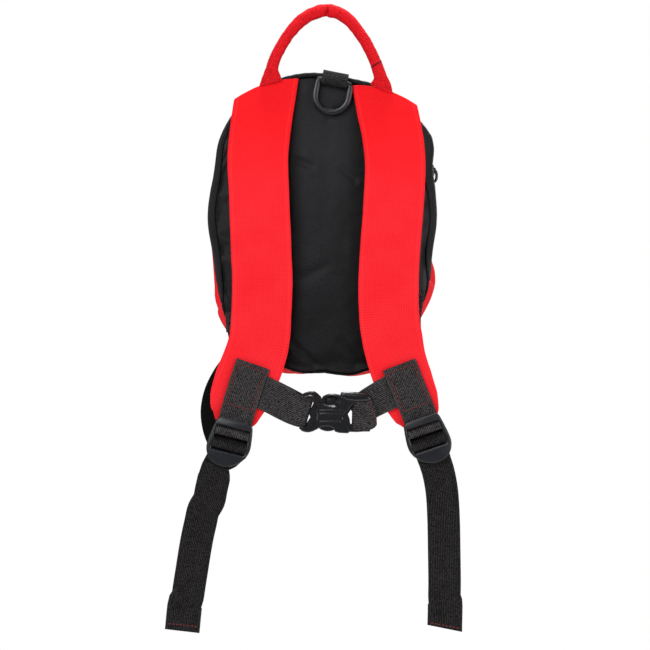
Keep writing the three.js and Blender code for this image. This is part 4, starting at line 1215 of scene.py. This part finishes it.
BUCKLE_AT = (5.2, -7.4, -295.5)
SOCKET_FACE = [  # from the upper left leg round by the deep scallop
    (-22.7, 11.2, 1.1), (-17.8, 12.5, 2), (-14.6, 11.5, 2), (-11.9, 8.6, 1.5), (-9.3, 6.2, 2.5),
    (-3.5, 4.1, 3), (1.5, 3.9, 1.5), (3.2, 5.8, 1), (4.2, 8.6, 1), (5.4, 10.8, 1), (4.6, 13.4, 1),
    (6.4, 14.5, 1), (15.5, 14.5, 1), (16.2, 7.4, 2), (12.3, 3.3, 2), (8.6, -0.9, 1.5), (7, -2.8, 1),
    (6.6, -5.1, 1), (8.1, -8, 1.5), (11.9, -14.8, 1), (10.6, -16.4, 0.8), (3.9, -16.1, 1),
    (0.7, -15.2, 0.8), (-0.6, -12.4, 1), (-3.4, -11.2, 2), (-8.4, -11.2, 2), (-11.6, -12.7, 1),
    (-16.4, -15.2, 2), (-19.4, -15.8, 1.5), (-22.4, -14.9, 1.2), (-20.9, -12.7, 1.2), (-16.1, -10.2, 2),
    (-13.6, -7.2, 2), (-12.7, -4.4, 2), (-13, 0.2, 2), (-14.4, 4.6, 2), (-16.2, 8, 1.5), (-22.3, 8.9, 1.1),
]
SOCKET_FLANGE = [
    (4, 9, 1), (15.5, 8.6, 1), (13.4, 3, 1), (12.7, 1.2, 0.8), (10.3, -2.1, 1), (11.8, -5.6, 1),
    (12.1, -9.2, 0.5), (14.6, -9.6, 0.5), (14.6, -15.4, 1), (4, -15.4, 1),
]
SOCKET_ARM = [
    (5.2, 14.4, 1.2), (19, 14.4, 6), (25.5, 13.2, 4), (28.4, 9.9, 2.5), (27.2, 7.5, 2), (17, 7, 2),
    (9, 7.8, 2), (5.6, 10.6, 1.2),
]
PLUG_BODY = [
    (-24.6, 10.4, 0.8), (-23.4, 13.4, 1.5), (-19, 14.9, 2), (-14.8, 15.3, 1.5), (-12.6, 13.8, 1),
    (-9.6, 11, 1), (-8.4, 8, 1.5), (-10.5, 3, 2), (-10.5, -8, 2), (-11.6, -12.9, 1.5), (-16.2, -15.2, 2),
    (-20, -15.9, 2), (-24, -14.9, 1.5), (-26, -12.6, 0.8), (-24.6, -11.6, 0.5), (-21.6, -11.4, 0.8),
    (-19.8, -7.6, 1), (-17.6, -4.5, 0.8), (-18.9, -1.2, 0.6), (-18.7, 0.6, 0.6), (-17.1, 2.4, 0.8),
    (-14.9, 7.3, 0.8), (-16.2, 9, 0.8), (-22.2, 9.4, 0.8),
]
PLUG_BAR = [(-20.4, 10.6, 0.5), (-17.6, 10.6, 0.5), (-23.4, -13.2, 0.5), (-26.2, -13.2, 0.5)]
PRONG = [
    (-9.8, 6, 1), (-8.6, 11.2, 1.5), (-4.6, 13.1, 3), (-0.3, 13.3, 3), (3.8, 12.6, 1), (6.4, 12, 1),
    (6, 3, 1), (-9, 3, 1),
]
PRONG_HOLLOW = [(-6.6, 9.2, 1.5), (-3.4, 10.7, 2), (1, 10.8, 2), (2.6, 9.2, 1), (1.4, 5, 1), (-4.4, 5, 1)]
PRONG_WEB = [(-7.4, 10.4, 1), (3.2, 11, 1), (3.2, 4, 1), (-7.4, 4, 1)]
PRONG_FOOT = [
    (-11.8, -9, 1), (-11.4, -12.4, 1), (-10.3, -13.5, 1), (-6.6, -14.9, 2), (-3, -15, 2), (0.3, -14, 1),
    (1.2, -10, 1),
]
FACE_RIBS = (0.9, -1.5, -7.4)
SOCKET_PLATES = [  # name, outline and its holes, front, back, rounding of the edges and its steps
    ("socket_face", [SOCKET_FACE], -4.4, 3.4, 0.75, 0),
    ("socket_flange", [SOCKET_FLANGE], -2.6, 2.4, 0.6, 0),
    ("socket_arm", [SOCKET_ARM], -4.9, 2.6, 2, 2),
]
SOCKET_BARS = [  # name, low corner, high corner, rounding
    ("socket_rail", (10, -1.3, -15.2), (27, 1.3, -13.9), 0.5),
    ("socket_bar", (15, -1.3, -15), (17.8, 1.3, 9), 0.7),
    ("socket_bar", (23.1, -1.3, -15), (26.4, 1.3, 9), 0.7),
]
SOCKET_BARS += [("socket_rib", (-11, -4.95, z - 0.5), (5.2, -4.2, z + 0.5), 0.35) for z in FACE_RIBS]
PLUG_PLATES = [  # a slotted body, and prongs that show in the socket's scallops
    ("plug_body", [PLUG_BODY], -3.2, 2.6, 0.7, 0),
    ("plug_bar", [PLUG_BAR], -1.3, 1.3, 0.5, 2),
    ("plug_prong", [PRONG, PRONG_HOLLOW], -2.4, 2.2, 0.8, 0),
    ("plug_web", [PRONG_WEB], 0.9, 2.4, 0.3, 2),
    ("plug_foot", [PRONG_FOOT], -2.6, 2.2, 0.8, 2),
]


def buckle_half(half, plates, bars=()):
    """One half of the buckle, joined from its plates and bars, at its place."""
    pieces = [moulded_plate(*plate) for plate in plates]
    pieces += [bar(*row) for row in bars]
    moulding = join_pieces(f"{half}_moulding", pieces)
    set_place(moulding, BUCKLE_AT, 0)
    smooth(moulding, 35)
    settle(moulding, "bag", half, PLASTIC)


buckle_half("buckle_socket", SOCKET_PLATES, SOCKET_BARS)
buckle_half("buckle_plug", PLUG_PLATES)


# Repeats: a shape that is modelled once and copied to its places

def copies(name, first, places):
    """Copies a shape to each place, with a mesh of its own, and joins the copies."""
    pieces = []
    for place in places:
        piece = first.copy()
        piece.data = first.data.copy()
        bpy.context.collection.objects.link(piece)
        piece.data.transform(place)
        pieces.append(piece)
    bpy.data.objects.remove(first)
    joined = join_pieces(name, pieces)
    smooth(joined, 60)
    return joined


def placed(at, *directions):
    """The place of a shape whose own three axes turn to the directions."""
    place = Matrix(directions).transposed().to_4x4()
    place.translation = at
    return place


# The zip: teeth round the top of the bag, a slider and its open wire pull

def zip_place(share, out):
    """A place on the zip's line, lifted out of its tape."""
    _, across, up = ZIP[1]
    at = bag_point(share, ZIP_LINE, across, up, out + tucked(share))
    ahead = bag_point(share + 0.002, ZIP_LINE, across, up)
    behind = bag_point(share - 0.002, ZIP_LINE, across, up)
    along = (ahead - behind).normalized()
    return placed(at, along, Vector((0, 1, 0)), along.cross(Vector((0, 1, 0))))


ZIP_PITCH = 2.1
zip_start, zip_stop = share_at(ZIP_END, "left") - 1, share_at(ZIP_END, "right")
tooth_count = round((zip_stop - zip_start) * OUTLINE_LENGTH / ZIP_PITCH)
teeth = copies("zip_teeth", bar("zip_tooth", (-0.6, -2.3, -0.8), (0.6, 2.3, 0.8), 0.35, 1),
               [zip_place(mix(zip_start, zip_stop, k / tooth_count), 0.6) for k in range(tooth_count + 1)])
stops = copies("zip_stops", bar("zip_stop", (-3.6, -2.7, -0.8), (3.6, 2.7, 1.9), 0.7),
               [zip_place(share, 0.4) for share in (zip_start, zip_stop)])
settle(join_pieces("zip_teeth", [teeth, stops]), "bag", "zip_coil", PLASTIC)

slider = join_pieces("slider", [
    bar("slider_body", (-4.4, -4.2, -0.6), (4.4, 4.2, 2.7), 1.1),
    bar("slider_bridge", (-2.2, -1.1, 2), (2.6, 1.1, 4.2), 0.9),
])
slider_place = zip_place(share_at(SLIDER_HEIGHT, "right"), 0.6)
settle(copies("zip_slider_body", slider, [slider_place]), "bag", "zip_slider", PLASTIC)

PULL_WIRE, PULL_DEPTH = 1.15, 45
PULL = [  # across, up
    (79.6, -113.6), (80.8, -112.6), (82.8, -112.9), (83.7, -115), (83.8, -118.2), (83.2, -121),
    (81.4, -122), (79.9, -121.6),
]


def wire(name, points, radius):
    """A round wire along points in millimetres."""
    leave_edit()
    bpy.ops.curve.primitive_nurbs_path_add(radius=MM)
    line = bpy.context.object.data
    line.splines.clear()
    spline = line.splines.new("NURBS")
    spline.points.add(len(points) - 1)
    for point, place in zip(spline.points, points):
        point.co = (*mm(*place), 1)
    spline.use_endpoint_u, spline.order_u = True, 4
    line.dimensions, line.resolution_u = "3D", 6
    line.bevel_depth, line.bevel_resolution, line.use_fill_caps = radius * MM, 3, True
    bpy.ops.object.convert(target="MESH")
    piece = new_piece(name)
    close_up(piece, 0.005)
    smooth(piece, 60)
    return piece


pull = wire("zip_pull_wire", [(x, PULL_DEPTH, z) for x, z in PULL], PULL_WIRE)
settle(pull, "bag", "zip_pull", PLASTIC)

# Sewing: rows of stitches, each a short dash of thread

STITCH, STITCH_GAP, STITCH_RADIUS = 2.0, 2.8, 0.36


def stitch_row(stations, start, stop, lift):
    """Places of stitches on a strip, from one (far along it, to one side) to another, in millimetres."""
    start, stop = Vector(start), Vector(stop)
    count = max(1, round((stop - start).length / STITCH_GAP))
    places = []
    for k in range(count):
        far, side = start.lerp(stop, (k + 0.5) / count) * MM
        at, along, across, through = on_route(stations, far, side, lift * MM)
        way = (along * (stop - start).x + across * (stop - start).y).normalized()
        through = (through - way * through.dot(way)).normalized()
        places.append(placed(at, way, through.cross(way), through))
    return places


def sew(name, places, thread):
    half, thin = STITCH / 2, STITCH_RADIUS
    dash = bar("stitch", (-half, -thin, -thin), (half, thin, thin), 0.25, 1)
    settle(copies(name, dash, places), "bag", None, thread)


ON_CLOTH = 0.05
ON_WEBBING = THICK / 2 + ON_CLOTH
BOX_TOP, BOX_END, BOX_SIDE = 3.2, 34, 10
BOX = [(BOX_TOP, -BOX_SIDE), (BOX_TOP, BOX_SIDE), (BOX_END, BOX_SIDE), (BOX_END, -BOX_SIDE)]
TAIL_STITCH = {"left": 4.6, "right": 2.2}  # from the hem's end
HEM_SIDE, CHEST_SIDE, CHEST_STITCH = 11, 9, 0.5
for side in SIDES:
    box = []
    for start, stop in zip(BOX, BOX[1:] + BOX[:1]):
        box += stitch_row(patch_lines[side], start, stop, ON_WEBBING)
    sew(f"patch_stitches_{side}", box, BROWN_THREAD)
    far = adjuster_lines[side][-1]["far"] / MM - TAIL_STITCH[side]
    hem = stitch_row(adjuster_lines[side], (far, -HEM_SIDE), (far, HEM_SIDE), HEM / 2 + ON_CLOTH)
    sew(f"hem_stitches_{side}", hem, BROWN_THREAD)

far = chest_lines["right"][-1]["far"] / MM - CHEST_STITCH
loose_end = stitch_row(chest_lines["right"], (far, -CHEST_SIDE), (far, CHEST_SIDE), -ON_WEBBING)
sew("chest_end_stitches", loose_end, BROWN_THREAD)

HANDLE_SEAM = -35.2  # height of the thread round the handle's right arm
SEAM_STITCHES, SEAM_SWAY = 9, 0.9
right_arm = [station for station in handle_line if station["at"].x > 0]
seam = min(right_arm, key=lambda station: abs(station["at"].z - HANDLE_SEAM * MM))
seam_places = []
for k in range(SEAM_STITCHES):
    angle = math.pi * (k + 0.5) / SEAM_STITCHES
    out = seam["across"] * math.cos(angle) + seam["through"] * math.sin(angle)
    at = seam["at"] + out * (HANDLE_THICK / 2 * MM) - seam["along"] * (SEAM_SWAY * MM * math.cos(angle))
    seam_places.append(placed(at, out.cross(seam["along"]), seam["along"], out))
sew("handle_seam_stitches", seam_places, DARK_THREAD)

# The tabs' stitches are real; their dark red also stands in for the shadow line under each tab's lower edge,
# as painted shade.
HANDLE_STITCH, HANDLE_SIDE = 2.2, 7
tab_places = []
for far in (HANDLE_STITCH, handle_line[-1]["far"] / MM - HANDLE_STITCH):
    tab_places += stitch_row(handle_line, (far, -HANDLE_SIDE), (far, HANDLE_SIDE), HANDLE_TAB_THICK / 2)
sew("handle_tab_stitches", tab_places, RED_THREAD)


# Stage: a pale floor below, soft light all round and the photo's long lens

PIXEL_MM, FRAME_PIXELS = 0.75, 650
PIXEL = PIXEL_MM * MM
MIDDLE_PIXEL, ORIGIN_ACROSS, ORIGIN_DOWN = 325, 327, 17  # the origin is under the handle's arch
PICTURE_CENTRE = mm((MIDDLE_PIXEL - ORIGIN_ACROSS) * PIXEL_MM, 0, (ORIGIN_DOWN - MIDDLE_PIXEL) * PIXEL_MM)
LENS, SENSOR, FAR_CLIP = 180, 36, 50
FLOOR_RADIUS, FLOOR_HEIGHT = 0.55, -0.56
SOFT_LIGHT, SEEN_WHITE = 0.16, 1.0  # the world's strength on the part, and as the ground that the camera sees
SOFTBOXES = [  # name, place from the picture's centre, size, power
    ("key_softbox", (-0.55, -1.3, 0.55), 0.9, 15),
    ("fill_softbox", (0.95, -1.1, 0.1), 0.9, 7),
    ("top_softbox", (0.05, 0.15, 0.95), 0.8, 8),
    ("back_softbox", (0.1, 1.5, 0.6), 1.0, 9),
    ("strip_softbox", (0, 0, 0.85), 0.16, 1.6),
    ("left_softbox", (-1.3, -0.3, 0.05), 0.8, 3),
    ("right_softbox", (1.3, -0.3, 0.05), 0.8, 5),
]


def studio():
    leave_edit()
    bpy.ops.mesh.primitive_circle_add(vertices=64, radius=FLOOR_RADIUS, fill_type="NGON",
                                      location=(0, 0, FLOOR_HEIGHT))
    floor = bpy.context.object
    floor.name = "studio_floor"
    pale = Finish("pale_floor", 0.8)
    floor.data.materials.append(pale.done(pale.colours((236, 235, 233), (239, 239, 237), pale.patches(30))))

    world = bpy.data.worlds.new("studio_white")
    bpy.context.scene.world = world
    world.use_nodes = True
    tree = world.node_tree
    white = tree.nodes["Background"]
    white.inputs["Color"].default_value = (1, 1, 1, 1)
    rays = tree.nodes.new("ShaderNodeLightPath")
    strength = tree.nodes.new("ShaderNodeMapRange")
    strength.inputs["To Min"].default_value = SOFT_LIGHT
    strength.inputs["To Max"].default_value = SEEN_WHITE
    tree.links.new(rays.outputs["Is Camera Ray"], strength.inputs["Value"])
    tree.links.new(strength.outputs["Result"], white.inputs["Strength"])

    for name, place, size, power in SOFTBOXES:
        bpy.ops.object.light_add(type="AREA", location=Vector(place) + PICTURE_CENTRE)
        lamp = bpy.context.object
        lamp.name = name
        lamp.data.size, lamp.data.energy = size, power
        lamp.rotation_euler = (PICTURE_CENTRE - lamp.location).to_track_quat("-Z", "Y").to_euler()

    away = FRAME_PIXELS * PIXEL * LENS / SENSOR
    bpy.ops.object.camera_add(location=PICTURE_CENTRE + Vector((0, -away, 0)),
                              rotation=(math.radians(90), 0, 0))
    camera = bpy.context.object
    camera.data.lens, camera.data.sensor_width = LENS, SENSOR
    camera.data.clip_end = FAR_CLIP
    bpy.context.scene.camera = camera
    bpy.context.scene.view_settings.view_transform = "Standard"


studio()
